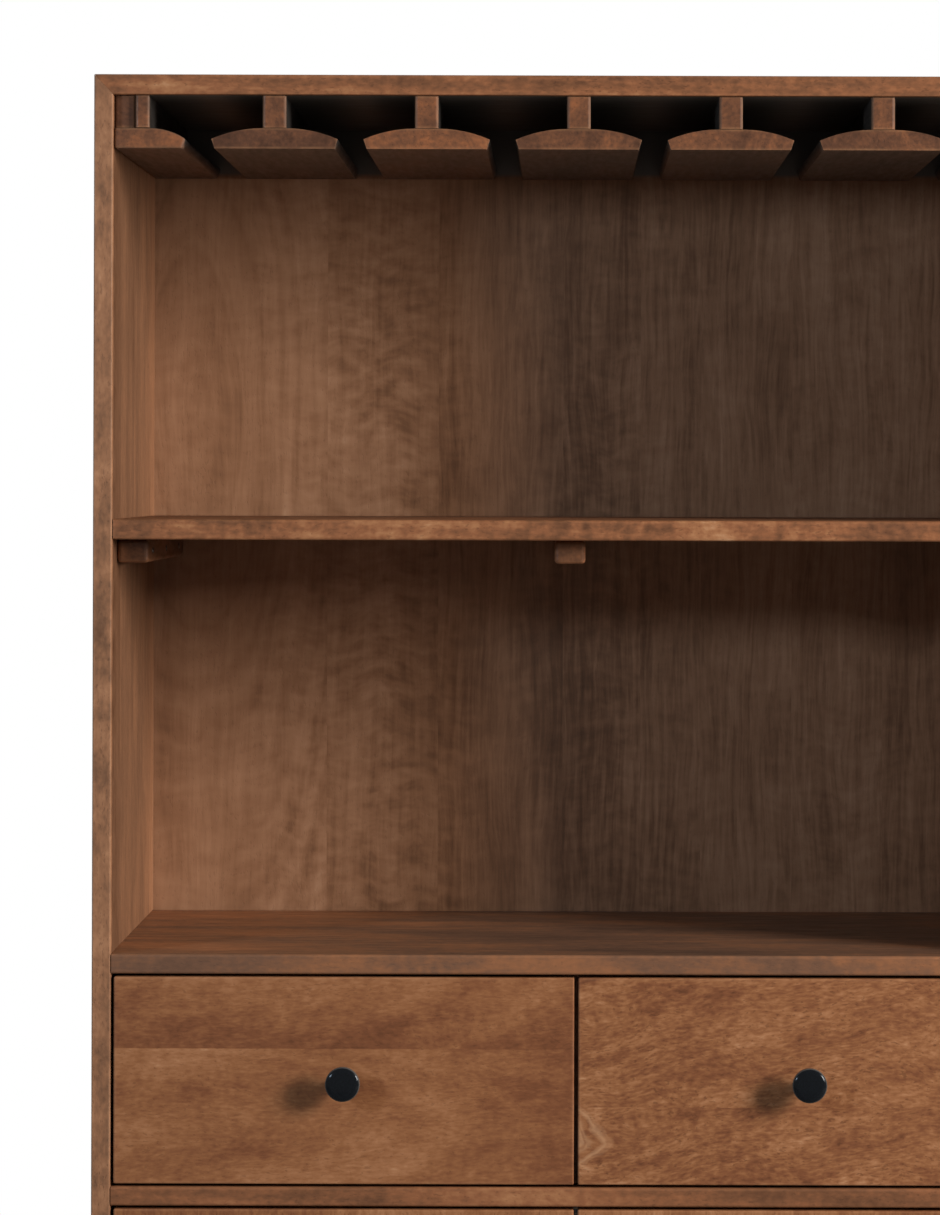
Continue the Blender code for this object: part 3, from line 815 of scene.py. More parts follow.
    def insets(self, low: Vector, high: Vector) -> tuple[Socket, Socket, Socket]:
        """Measures how far a place is inside a box.

        Args:
            low: The box's lowest corner.
            high: Its highest corner.

        Returns:
            The distance to the nearer face on X, Y and Z, below 0 outside.
        """
        place = self.texture.outputs["Object"]
        offset = add_node(
            self.tree, "ShaderNodeVectorMath", {0: place, 1: (low + high) / 2}, operation="SUBTRACT"
        )
        distance = add_node(
            self.tree, "ShaderNodeVectorMath", {0: offset.outputs["Vector"]}, operation="ABSOLUTE"
        )
        inside = add_node(
            self.tree,
            "ShaderNodeVectorMath",
            {0: (high - low) / 2, 1: distance.outputs["Vector"]},
            operation="SUBTRACT",
        )
        apart = add_node(self.tree, "ShaderNodeSeparateXYZ", {"Vector": inside.outputs["Vector"]})
        first, second, third = apart.outputs
        return first, second, third

    def within(self, zone: PaintedShadeZone) -> Socket:
        """Returns 1 inside a zone, and 0 outside it."""
        first, second, third = self.insets(zone.low, zone.high)
        inset = self.math("MINIMUM", self.math("MINIMUM", first, second), third)
        return self.spread(inset, (0.0, zone.soft))

    def wear(self, width: float) -> Socket:
        """Finds the arrises, where handling has thinned the staining unevenly.

        Args:
            width: How far from the arris the wear reaches.

        Returns:
            1 where the staining is worn and 0 where it is whole.
        """
        place = self.texture.outputs["Object"]
        first, second, third = self.insets(self.low, self.high)
        nearer = self.math("MINIMUM", first, second)
        farther = self.math("MAXIMUM", first, second)
        arris = self.math("MAXIMUM", nearer, self.math("MINIMUM", farther, third))
        close = add_node(
            self.tree,
            "ShaderNodeMapRange",
            {"Value": arris, "From Min": width, "From Max": 0.0},
            interpolation_type="SMOOTHSTEP",
        ).outputs["Result"]
        uneven = self.streaks(place, WEAR_PATCH, FINE)
        return self.math("MULTIPLY", close, uneven)


CARCASS_WOOD = LacqueredMango(
    name="lacquered_mango",
    deep="#4a2d1c",
    dusk="#6e462d",
    body="#895637",
    pale="#a06c47",
    glow="#b78660",
    worn="#a8744e",
    roughness=0.46,
    wear_strength=0.20,
)
# Greyer deep and dusk colours than the carcass's, for the painted shadow on the deck's right part.
DECK_WOOD = replace(
    CARCASS_WOOD,
    name="lacquered_mango_deck",
    deep="#4d372a",
    dusk="#6b4a36",
    body="#87583a",
    pale="#9d6440",
)
SIDE_WOOD = LacqueredMango(
    name="lacquered_mango_side",
    deep="#4c2e1b",
    dusk="#704d36",
    body="#8f6244",
    pale="#a67553",
    glow="#bc8e6a",
    worn="#b98a66",
    roughness=0.48,
    ripple=(0.0260, 0.0200),
    ring_strength=0.07,
    drift_strength=0.20,
    wear_width=0.0030,
    wear_strength=0.50,
)
FRONT_WOOD = LacqueredMango(
    name="lacquered_mango_front",
    deep="#54301b",
    dusk="#75462b",
    body="#8b5937",
    pale="#a06c48",
    glow="#bb8c66",
    worn="#a67654",
    roughness=0.44,
    fleck=(0.0075, 0.0026),
    fleck_strength=0.28,
    drift_strength=0.34,
)
RACK_WOOD = LacqueredMango(
    name="lacquered_mango_rack",
    deep="#382113",
    dusk="#563624",
    body="#6e452d",
    pale="#8a5434",
    glow="#a06c47",
    worn="#a67752",
    # Painted shade: the near-black colour of the rack's channels.
    channel_painted_shade="#2b2622",
    # Painted light: a greyer tone that lifts the rails' shaded sides and undersides.
    long_face_painted_light=("#58473b", 0.7),
    roughness=0.46,
    end_grain=0.03,
    wear_width=0.0030,
    wear_strength=0.45,
)
VENEER = LacqueredMango(
    name="lacquered_mango_veneer",
    deep="#452f20",
    dusk="#6d4b34",
    body="#8c6448",
    pale="#a17759",
    glow="#b58d6e",
    worn="#8c6449",
    roughness=0.50,
    streak=(0.160, 0.0050),
    fleck=(0.0300, 0.0026),
    ripple=(0.0110, 0.0220),
    ring_strength=0.20,
    streak_strength=0.27,
    fleck_strength=0.16,
    drift_strength=0.26,
    mottle_strength=0.55,
    pore_strength=0.12,
)
DRAWER_WOOD = LacqueredMango(
    name="sealed_mango_drawer",
    deep="#7d5637",
    dusk="#9b724d",
    body="#b38a62",
    pale="#c39d75",
    glow="#d3b28c",
    worn="#c8a682",
    roughness=0.60,
)


def uneven_skin(
    tree: bpy.types.NodeTree, place: Socket, grit: float, dark: str, bare: str
) -> tuple[Socket, Socket]:
    """Draws a worked skin that is thin in places.

    Args:
        tree: The material's tree.
        place: The coordinates that it lies on.
        grit: Size of its unevenness.
        dark: Colour of the skin.
        bare: Colour where it is thin.

    Returns:
        How thin the skin is at a place, and its colour there.
    """
    noise = add_node(
        tree, "ShaderNodeTexNoise", {"Vector": place, "Scale": 1 / grit, "Detail": GRITTY}
    ).outputs["Fac"]
    thick, thin = SKIN_RANGE
    stops = ((thick, linear(dark)), (thin, linear(bare)))
    colour = add_node(tree, "ShaderNodeValToRGB", {"Fac": noise}, stops).outputs["Color"]
    return noise, colour


def uneven_gloss(tree: bpy.types.NodeTree, noise: Socket, roughness: float, play: float) -> Socket:
    """Makes a skin rougher where it is thin.

    Args:
        tree: The material's tree.
        noise: How thin the skin is at a place.
        roughness: Its roughness.
        play: How much rougher or smoother it gets.

    Returns:
        The roughness at a place.
    """
    return add_node(
        tree,
        "ShaderNodeMapRange",
        {"Value": noise, "To Min": roughness - play, "To Max": roughness + play},
    ).outputs["Result"]


@dataclass(frozen=True)
class DarkMetal:
    """Small fittings of metal or moulded plastic with a worked surface.

    The skin is a little uneven, so its gloss comes and goes, and the edges of a light break up on it.

    Attributes:
        name: The finish's name.
        dark: Colour of the skin.
        bare: Colour where the skin is thin.
        metallic: Whether bare metal shows, from 0 to 1.
        roughness: Roughness of the skin.
        specular: Strength of its reflections.
        grit: Size of its unevenness.
        relief: Height of its unevenness.
        relief_strength: How much of that height shows.
        gloss_play: How much the roughness changes.
    """

    name: str
    dark: str
    bare: str
    metallic: float
    roughness: float
    specular: float
    grit: float
    relief: float
    relief_strength: float = 0.35
    gloss_play: float = 0.06

    def material(self) -> bpy.types.Material:
        """Returns the material, made on the first call."""
        if self.name in bpy.data.materials:
            return bpy.data.materials[self.name]
        material, tree, shader = new_material(self.name)
        place = add_node(tree, "ShaderNodeTexCoord").outputs["Object"]
        noise, colour = uneven_skin(tree, place, self.grit, self.dark, self.bare)
        gloss = uneven_gloss(tree, noise, self.roughness, self.gloss_play)
        bump = add_node(
            tree,
            "ShaderNodeBump",
            {"Strength": self.relief_strength, "Distance": self.relief, "Height": noise},
        )
        tree.links.new(colour, shader.inputs["Base Color"])
        tree.links.new(gloss, shader.inputs["Roughness"])
        tree.links.new(bump.outputs["Normal"], shader.inputs["Normal"])
        shader.inputs["Metallic"].default_value = self.metallic
        shader.inputs["Specular IOR Level"].default_value = self.specular
        return material


DARK_STEEL = DarkMetal("bronzed_steel", "#3d342c", "#6a5a49", 0.9, 0.38, 0.5, 0.0030, 0.00005)
SCREW_STEEL = DarkMetal("blackened_screw_steel", "#33302d", "#5b564f", 0.9, 0.34, 0.5, 0.0020, 0.00004)
STRIKE_STEEL = DarkMetal("nickelled_steel", "#8d8a85", "#a8a49d", 1.0, 0.28, 0.5, 0.0040, 0.00003)
CATCH_PLASTIC = DarkMetal("moulded_black_abs", "#111112", "#1c1c1d", 0.0, 0.48, 0.4, 0.0008, 0.00004)


@dataclass(frozen=True)
class BlackenedIron:
    """Iron, turned, blackened and waxed, as on the knobs.

    The face is almost black with a cold tinge, and the wax gives it small sharp lights. A grey ring at
    the rim is a painted highlight, as of light caught by its edge.

    Attributes:
        name: The finish's name.
        dark: Colour of the blackened skin.
        bare: Colour where the skin is thin.
        rim_highlight: Colour of the painted highlight at the rim.
        roughness: Roughness of the wax.
        specular: Strength of its reflections.
        rim: How wide the painted highlight at the rim is.
        rim_highlight_share: How much of the highlight's colour shows at the edge, from 0 to 1.
        grit: Size of the unevenness that the lathe left.
        gloss_play: How much the roughness changes.
    """

    name: str = "blackened_iron"
    dark: str = "#05070a"
    bare: str = "#0b0f13"
    rim_highlight: str = "#5e5953"
    roughness: float = 0.15
    specular: float = 0.09
    rim: float = 0.0011
    rim_highlight_share: float = 0.8
    grit: float = 0.0016
    gloss_play: float = 0.05

    def material(self, node: str) -> bpy.types.Material:
        """Makes the finish for one knob.

        Args:
            node: The knob's name in the frame.

        Returns:
            The material.
        """
        low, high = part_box(node)
        radius = (high.x - low.x) / 2
        material, tree, shader = new_material(f"{self.name}_{node}")
        place = add_node(tree, "ShaderNodeTexCoord").outputs["Object"]
        noise, skin = uneven_skin(tree, place, self.grit, self.dark, self.bare)
        from_axis = add_node(
            tree,
            "ShaderNodeMapping",
            {"Vector": place, "Location": (low + high) / 2, "Scale": (radius, ENDLESS, radius)},
            vector_type="TEXTURE",
        ).outputs["Vector"]
        out = add_node(tree, "ShaderNodeVectorMath", {0: from_axis}, operation="LENGTH").outputs["Value"]
        # Painted highlight: a grey ring at the rim of the knob's head.
        rim_highlight = add_node(
            tree,
            "ShaderNodeMapRange",
            {"Value": out, "From Min": 1.0 - self.rim / radius, "From Max": 1.0, "To Max": self.rim_highlight_share},
        ).outputs["Result"]
        colour = add_node(
            tree, "ShaderNodeMix", {0: rim_highlight, 6: skin, 7: linear(self.rim_highlight)}, data_type="RGBA"
        )
        gloss = uneven_gloss(tree, noise, self.roughness, self.gloss_play)
        tree.links.new(colour.outputs[2], shader.inputs["Base Color"])
        tree.links.new(gloss, shader.inputs["Roughness"])
        shader.inputs["Specular IOR Level"].default_value = self.specular
        return material


BLACK_IRON = BlackenedIron()


class Facing(Enum):
    """The way that a screw's head looks."""

    LEFT = (-1.0, 0.0, 0.0)
    RIGHT = (1.0, 0.0, 0.0)
    REAR = (0.0, 1.0, 0.0)
    DOWN = (0.0, 0.0, -1.0)


@dataclass(frozen=True)
class ScrewPlace:
    """Where a screw goes in.

    Attributes:
        point: The middle of the head, on the surface that it is sunk in.
        facing: The way that the head looks.
    """

    point: tuple[float, float, float]
    facing: Facing


@dataclass
class ScrewSet:
    """Countersunk cross-head screws of one size that ride on one body.

    Attributes:
        name: The piece's name.
        body: The body that the screws ride on.
        places: Where they go in.
        diameter: How wide a head is.
        rise: How far the middle of a head stands above the surface.
        depth: How deep a head is sunk.
        facets: How many facets go round a head.
        crown_share: Width of the flat middle of a head, as a share of the diameter.
        arm_share: Length of the cross, as a share of the diameter.
        slit_share: Width of its arms, as a share of the diameter.
        recess_share: Depth of the cross, as a share of the rise.
        turn_seed: Seed for how far each screw is turned.
    """

    name: str
    body: str
    places: list[ScrewPlace]
    diameter: float
    rise: float

    depth: float = 0.0006
    facets: int = 24
    crown_share: float = 0.72
    arm_share: float = 0.56
    slit_share: float = 0.13
    recess_share: float = 0.8
    turn_seed: int = 7

    @staticmethod
    def scaled(tree: bpy.types.NodeTree, size: Socket, factor: float) -> Socket:
        """Returns a size times a factor."""
        return add_node(tree, "ShaderNodeMath", {0: size, 1: factor}, operation="MULTIPLY").outputs[0]

    def head_tree(self) -> bpy.types.NodeTree:
        """Builds the tree that puts a cross-head at each point.

        Returns:
            The tree.
        """
        tree = bpy.data.node_groups.new(f"{self.name}_tree", "GeometryNodeTree")
        sockets = {
            "Places": "NodeSocketGeometry",
            "Head diameter": "NodeSocketFloat",
            "Head depth": "NodeSocketFloat",
            "Head rise": "NodeSocketFloat",
            "Recess depth": "NodeSocketFloat",
            "Steel": "NodeSocketMaterial",
            "Turn seed": "NodeSocketInt",
        }
        for name, kind in sockets.items():
            tree.interface.new_socket(name, in_out="INPUT", socket_type=kind)
        tree.interface.new_socket("Screws", in_out="OUTPUT", socket_type="NodeSocketGeometry")
        sizes = add_node(tree, "NodeGroupInput").outputs
        radius = self.scaled(tree, sizes["Head diameter"], 1 / 2)
        crown = self.scaled(tree, radius, self.crown_share)
        height = add_node(
            tree, "ShaderNodeMath", {0: sizes["Head depth"], 1: sizes["Head rise"]}, operation="ADD"
        ).outputs[0]
        head = add_node(
            tree,
            "GeometryNodeMeshCone",
            {"Vertices": self.facets, "Radius Top": crown, "Radius Bottom": radius, "Depth": height},
        ).outputs["Mesh"]
        sink = self.scaled(tree, sizes["Head depth"], -1.0)
        seat = add_node(tree, "ShaderNodeCombineXYZ", {"Z": sink}).outputs[0]
        head = add_node(
            tree, "GeometryNodeTransform", {"Geometry": head, "Translation": seat}
        ).outputs[0]
        arm = self.scaled(tree, sizes["Head diameter"], self.arm_share)
        slit = self.scaled(tree, sizes["Head diameter"], self.slit_share)
        deep = self.scaled(tree, sizes["Recess depth"], 2.0)
        lift = add_node(tree, "ShaderNodeCombineXYZ", {"Z": sizes["Head rise"]}).outputs[0]
        for across, along in ((arm, slit), (slit, arm)):
            size = add_node(tree, "ShaderNodeCombineXYZ", {"X": across, "Y": along, "Z": deep})
            bar = add_node(tree, "GeometryNodeMeshCube", {"Size": size.outputs[0]}).outputs["Mesh"]
            bar = add_node(
                tree, "GeometryNodeTransform", {"Geometry": bar, "Translation": lift}
            ).outputs[0]
            head = add_node(
                tree, "GeometryNodeMeshBoolean", {"Mesh 1": head, "Mesh 2": bar}, operation="DIFFERENCE"
            ).outputs["Mesh"]
        facing = add_node(
            tree, "GeometryNodeInputNamedAttribute", {"Name": "facing"}, data_type="FLOAT_VECTOR"
        ).outputs["Attribute"]
        spin = add_node(
            tree,
            "FunctionNodeRandomValue",
            {"Min": (0.0, 0.0, 0.0), "Max": (0.0, 0.0, math.pi), "Seed": sizes["Turn seed"]},
            data_type="FLOAT_VECTOR",
        ).outputs["Value"]
        aim = add_node(
            tree, "FunctionNodeAlignRotationToVector", {"Vector": facing}, axis="Z"
        ).outputs["Rotation"]
        turned = add_node(
            tree,
            "FunctionNodeRotateRotation",
            {"Rotation": aim, "Rotate By": spin},
            rotation_space="LOCAL",
        ).outputs["Rotation"]
        heads = add_node(
            tree,
            "GeometryNodeInstanceOnPoints",
            {"Points": sizes["Places"], "Instance": head, "Rotation": turned},
        ).outputs["Instances"]
        whole = add_node(tree, "GeometryNodeRealizeInstances", {"Geometry": heads}).outputs["Geometry"]
        dressed = add_node(
            tree, "GeometryNodeSetMaterial", {"Geometry": whole, "Material": sizes["Steel"]}
        ).outputs["Geometry"]
        add_node(tree, "NodeGroupOutput", {"Screws": dressed})
        return tree

    def build(self) -> bpy.types.Object:
        """Makes the screws as one plain mesh.

        Returns:
            The piece.
        """
        points = bpy.data.meshes.new(f"{self.name}_points")
        points.from_pydata([place.point for place in self.places], [], [])
        facing = points.attributes.new("facing", "FLOAT_VECTOR", "POINT")
        for entry, place in zip(facing.data, self.places):
            entry.vector = place.facing.value
        piece = bpy.data.objects.new(self.name, points)
        tree = self.head_tree()
        modifier = piece.modifiers.new("screw_heads", "NODES")
        modifier.node_group = tree
        values = {
            "Head diameter": self.diameter,
            "Head depth": self.depth,
            "Head rise": self.rise,
            "Recess depth": self.rise * self.recess_share,
            "Steel": SCREW_STEEL.material(),
            "Turn seed": self.turn_seed,
        }
        for entry in tree.interface.items_tree:
            if entry.name in values:
                modifier[entry.identifier] = values[entry.name]
        bpy.context.scene.collection.objects.link(piece)
        graph = bpy.context.evaluated_depsgraph_get()
        mesh = bpy.data.meshes.new_from_object(piece.evaluated_get(graph))
        mesh.name = self.name
        piece.modifiers.clear()
        piece.data = mesh
        mount(piece, self.body)
        return piece


def mount(piece: bpy.types.Object, body: str) -> None:
    """Puts a finished piece on its body.

    Args:
        piece: The piece.
        body: The body that it rides on.
    """
    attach(piece, body)
    LOG.info("%s rides on %s", piece.name, body)


def new_piece(name: str, shape: bmesh.types.BMesh, material: bpy.types.Material) -> bpy.types.Object:
    """Turns a shape into an object in the scene.

    Args:
        name: The piece's name.
        shape: Its shape, which is used up.
        material: Its material.

    Returns:
        The piece.
    """
    mesh = bpy.data.meshes.new(name)
    bmesh.ops.recalc_face_normals(shape, faces=shape.faces)
    shape.to_mesh(mesh)
    shape.free()
    mesh.materials.append(material)
    piece = bpy.data.objects.new(name, mesh)
    bpy.context.scene.collection.objects.link(piece)
    return piece


def rounded_plate(
    middle: Vector, width: float, height: float, thickness: float, corner: float
) -> bmesh.types.BMesh:
    """Draws an upright plate with rounded corners.

    Args:
        middle: The middle of the face that lies on what carries it.
        width: Its width along X.
        height: Its height along Z.
        thickness: How far it stands out along Y, or against Y below 0.
        corner: Radius of its corners.

    Returns:
        The plate's shape.
    """
    shape = bmesh.new()
    outline = []
    for turn, (across, up) in enumerate(((1, 1), (-1, 1), (-1, -1), (1, -1))):
        for step in range(CORNER_STEPS + 1):
            angle = math.pi / 2 * (turn + step / CORNER_STEPS)
            x = across * (width / 2 - corner) + corner * math.cos(angle)
            z = up * (height / 2 - corner) + corner * math.sin(angle)
            outline.append(shape.verts.new(middle + Vector((x, 0.0, z))))
    face = shape.faces.new(outline)
    grown = bmesh.ops.extrude_face_region(shape, geom=[face])["geom"]
    lifted = [part for part in grown if isinstance(part, bmesh.types.BMVert)]
    bmesh.ops.translate(shape, vec=(0.0, thickness, 0.0), verts=lifted)
    return shape


def dress(nodes: Mapping[str, bpy.types.Object], node: str, material: bpy.types.Material) -> None:
    """Gives a node of the frame its finish.

    Args:
        nodes: The frame's nodes.
        node: The node's name.
        material: Its finish.
    """
    mesh = nodes[node].data
    mesh.materials.clear()
    mesh.materials.append(material)
    LOG.info("%s is dressed in %s", node, material.name)


def rack_channel_shade(rim: float = 0.002, sunk: float = 0.006) -> PaintedShadeZone:
    """Finds the channels of the rack, whose wood is painted dark as shade so that they look deep.

    Args:
        rim: How much of a rail's front and underside is left without the painted shade.
        sunk: How far the zone reaches into the back and the top.

    Returns:
        The space from behind the fronts of the rails, and above their undersides, to the back and top.
    """
    rail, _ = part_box("rack_flange_1")
    left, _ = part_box("side_panel_left")
    right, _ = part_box("side_panel_right")
    back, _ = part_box("back_panel")
    top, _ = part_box("top_panel")
    low = Vector((left.x, rail.y + rim, rail.z + rim))
    return PaintedShadeZone(low, Vector((right.x, back.y + sunk, top.z + sunk)))


@dataclass
class Carcass:
    """The boxwork: sides, top, deck, dust panel, bottom, cupboard shelf, back, divider and plinth.

    Attributes:
        body: The body that it is.
        back_screw_step: How far apart the screws of the back panel are.
        back_screw_inset: How far the screws are from the panel's edges.
        back_screw_diameter: How wide the head of such a screw is.
        back_screw_rise: How far the head stands above the panel.
        back_leaves: The leaves of veneer on the back panel, from left to right.
        side_strips: The strips of a side panel, from front to back.
    """

    body: str = "carcass"
    back_screw_step: float = 0.150
    back_screw_inset: float = 0.0042
    back_screw_diameter: float = 0.0064
    back_screw_rise: float = 0.00025

    back_leaves: tuple[Stave, ...] = (
        Stave(-0.258, 0.39, (0.56, 0.63), 0.25, streaky=0.42),
        Stave(-0.142, 0.55, (0.59, 0.49), 1.00, streaky=0.50, ringed=0.35),
        # Painted shade: the third leaf darkens to the right and the fourth is dark at its left, where the
        # right side panel's shadow edge falls on the back.
        Stave(-0.017, 0.02, (0.50, 0.38), 0.10, streaky=0.75, ringed=0.35),
        Stave(0.064, 0.81, (0.38, 0.46), 0.55, ringed=0.35),
        Stave(0.125, 0.07, (0.48, 0.49), 0.40, ringed=0.35),
        Stave(0.217, 0.66, (0.52, 0.52), 0.20, ringed=0.35),
        Stave(0.310, 0.92, (0.55, 0.58), 0.45, ringed=0.35),
        Stave(0.450, 0.27, (0.52, 0.50), 0.25, ringed=0.35),
    )
    side_strips: tuple[Stave, ...] = (
        Stave(-0.1800, 0.22, (0.51, 0.50), 0.90),
        Stave(-0.1160, 0.57, (0.23, 0.28), 0.25, streaky=0.40, ringed=0.40),
        Stave(0.0035, 0.71, (0.39, 0.38), 0.15, streaky=0.40, ringed=0.40),
        Stave(0.1100, 0.88, (0.42, 0.45), 0.20, streaky=0.40, ringed=0.40),
        Stave(0.1600, 0.43, (0.47, 0.49), 0.20, streaky=0.40, ringed=0.40),
        # The last strip, in the back corner, is paler than its wood: painted light.
        Stave(0.2200, 0.36, (0.57, 0.60), 0.20, streaky=0.40, ringed=0.40),
    )

    def boards(self) -> list[Board]:
        """Returns the plain boards, which are finished alike."""
        return [
            Board("dust_panel", Axis.X),
            Board("bottom_panel", Axis.X),
            Board("cupboard_shelf", Axis.X),
            Board("drawer_divider", Axis.Y),
            Board("plinth_board", Axis.X),
        ]

    def dress(self, nodes: Mapping[str, bpy.types.Object]) -> None:
        """Gives every board its finish.

        Args:
            nodes: The frame's nodes.
        """
        # The rack's channels, with the top and the back inside them, are painted dark as shade.
        channels = rack_channel_shade()
        top = Board("top_panel", Axis.X, tone=-0.10, dive=1.0, figure=1.3, stain_and_painted_shade=channels)
        # Painted shadow: the deck darkens to the right across its middle, where the right side panel shades
        # it.
        deck = Board(
            "bar_deck",
            Axis.X,
            dive=0.8,
            tone=0.04,
            fade=(0.045, -0.19),
            tone_and_painted_shade_span=(0.19, 0.40),
            figure=0.65,
        )
        back = Board(
            "back_panel",
            Axis.Z,
            self.back_leaves,
            lean=0.4,
            dive=18.0,
            fade=(-0.065, 0.035),
            swirl=1.6,
            heart=2.23,
            stain_and_painted_shade=channels,
        )
        dress(nodes, top.node, CARCASS_WOOD.material(top))
        dress(nodes, deck.node, DECK_WOOD.material(deck))
        dress(nodes, back.node, VENEER.material(back))
        for board in self.boards():
            dress(nodes, board.node, CARCASS_WOOD.material(board))
        for word, hand in HANDS:
            side = Board(
                f"side_panel_{word}",
                Axis.Z,
                self.side_strips,
                lean=-0.6 * hand,
                tone=-0.01,
                fade=(0.0, -0.08),
            )
            dress(nodes, side.node, SIDE_WOOD.material(side))

    def back_screws(self) -> bpy.types.Object:
        """Screws the back panel to the boards that it lies on.

        Returns:
            The screws.
        """
        low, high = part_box("back_panel")
        columns = (low.x + self.back_screw_inset, high.x - self.back_screw_inset)
        rows = [high.z - self.back_screw_inset]
        for board in ("bar_deck", "dust_panel", "bottom_panel"):
            bottom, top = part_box(board)
            rows.append((bottom.z + top.z) / 2)
        points = []
        count = round((high.z - low.z) / self.back_screw_step)
        for column in columns:
            for number in range(1, count):
                points.append((column, low.z + (high.z - low.z) * number / count))
        count = round((high.x - low.x) / self.back_screw_step)
        for row in rows:
            for number in range(1, count):
                points.append((low.x + (high.x - low.x) * number / count, row))
        places = [ScrewPlace((across, high.y, up), Facing.REAR) for across, up in points]
        screws = ScrewSet(
            "back_panel_screws", self.body, places, self.back_screw_diameter, self.back_screw_rise
        )
        return screws.build()


@dataclass
class StemwareRack:
    """The rails that the glasses hang from, each a stem with a flange below it.

    Attributes:
        tones: How pale the stem and the flange of each rail are.
        spacer_tone: How pale the spacers are.
        figure: How bold the figure of the rails is.
    """

    tones: Mapping[str, tuple[float, float]] = field(
        default_factory=lambda: {
            "end_left": (0.06, -0.06),
            "1": (-0.05, -0.23),
            "2": (0.06, 0.05),
            "3": (-0.03, -0.24),
            "4": (0.02, 0.02),
            "5": (0.00, -0.12),
            "end_right": (0.04, -0.04),
        }
    )
    spacer_tone: float = -0.10
    figure: float = 1.2

    def boards(self) -> list[Board]:
        """Returns the stems, flanges and spacers, whose grain runs from front to back."""
        # The rack's channels are painted dark as shade on the rails.
        channels = rack_channel_shade()
        boards = [Board(f"rack_spacer_{word}", Axis.Y, tone=self.spacer_tone) for word, _ in HANDS]
        for word, (stem, flange) in self.tones.items():
            for part, tone in (("stem", stem), ("flange", flange)):
                node = f"rack_{part}_{word}"
                boards.append(Board(node, Axis.Y, tone=tone, figure=self.figure, stain_and_painted_shade=channels))
        return boards

    def dress(self, nodes: Mapping[str, bpy.types.Object]) -> None:
        """Gives every rail its finish.

        Args:
            nodes: The frame's nodes.
        """
        for board in self.boards():
            dress(nodes, board.node, RACK_WOOD.material(board))


@dataclass
class OpenShelf:
    """The open shelf, its two cleats and the batten under its middle.

    Attributes:
        body: The body that it belongs to.
        screw_inset: How far the outer screws are from the ends of a cleat.
        screw_diameter: How wide a screw's head is.
        screw_rise: How far a screw's head stands above the wood.
    """

    body: str = "carcass"
    screw_inset: float = 0.045
    screw_diameter: float = 0.0080
    screw_rise: float = 0.0007

    def dress(self, nodes: Mapping[str, bpy.types.Object]) -> None:
        """Gives the shelf and its battens their finish.

        Args:
            nodes: The frame's nodes.
        """
        boards = [
            Board("middle_shelf", Axis.X, tone=-0.11, dive=3.0, figure=1.15, mottle=0.90),
            # Painted shade: the cleats are darker where they lie in the shelf's shade; the batten is darker
            # than the shelf too.
            Board("shelf_cleat_left", Axis.Y, tone=-0.24),
            Board("shelf_cleat_right", Axis.Y, tone=-0.24),
            Board("shelf_batten_middle", Axis.Y, tone=-0.09),
        ]
        for board in boards:
            dress(nodes, board.node, CARCASS_WOOD.material(board))

    def screws(self) -> bpy.types.Object:
        """Screws the cleats to the sides and the batten to the shelf.

        Returns:
            The screws.
        """
        places = []
        for node, facing in (
            ("shelf_cleat_left", Facing.RIGHT),
            ("shelf_cleat_right", Facing.LEFT),
            ("shelf_batten_middle", Facing.DOWN),
        ):
            low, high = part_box(node)
            middle = (low + high) / 2
            surface = {Facing.RIGHT: high, Facing.LEFT: low, Facing.DOWN: low}[facing]
            for depth in (low.y + self.screw_inset, middle.y, high.y - self.screw_inset):
                point = [middle.x, depth, middle.z]
                axis = Axis.Z if facing is Facing.DOWN else Axis.X
                point[axis.value] = surface[axis.value]
                places.append(ScrewPlace(tuple(point), facing))
        return ScrewSet("shelf_screws", self.body, places, self.screw_diameter, self.screw_rise).build()


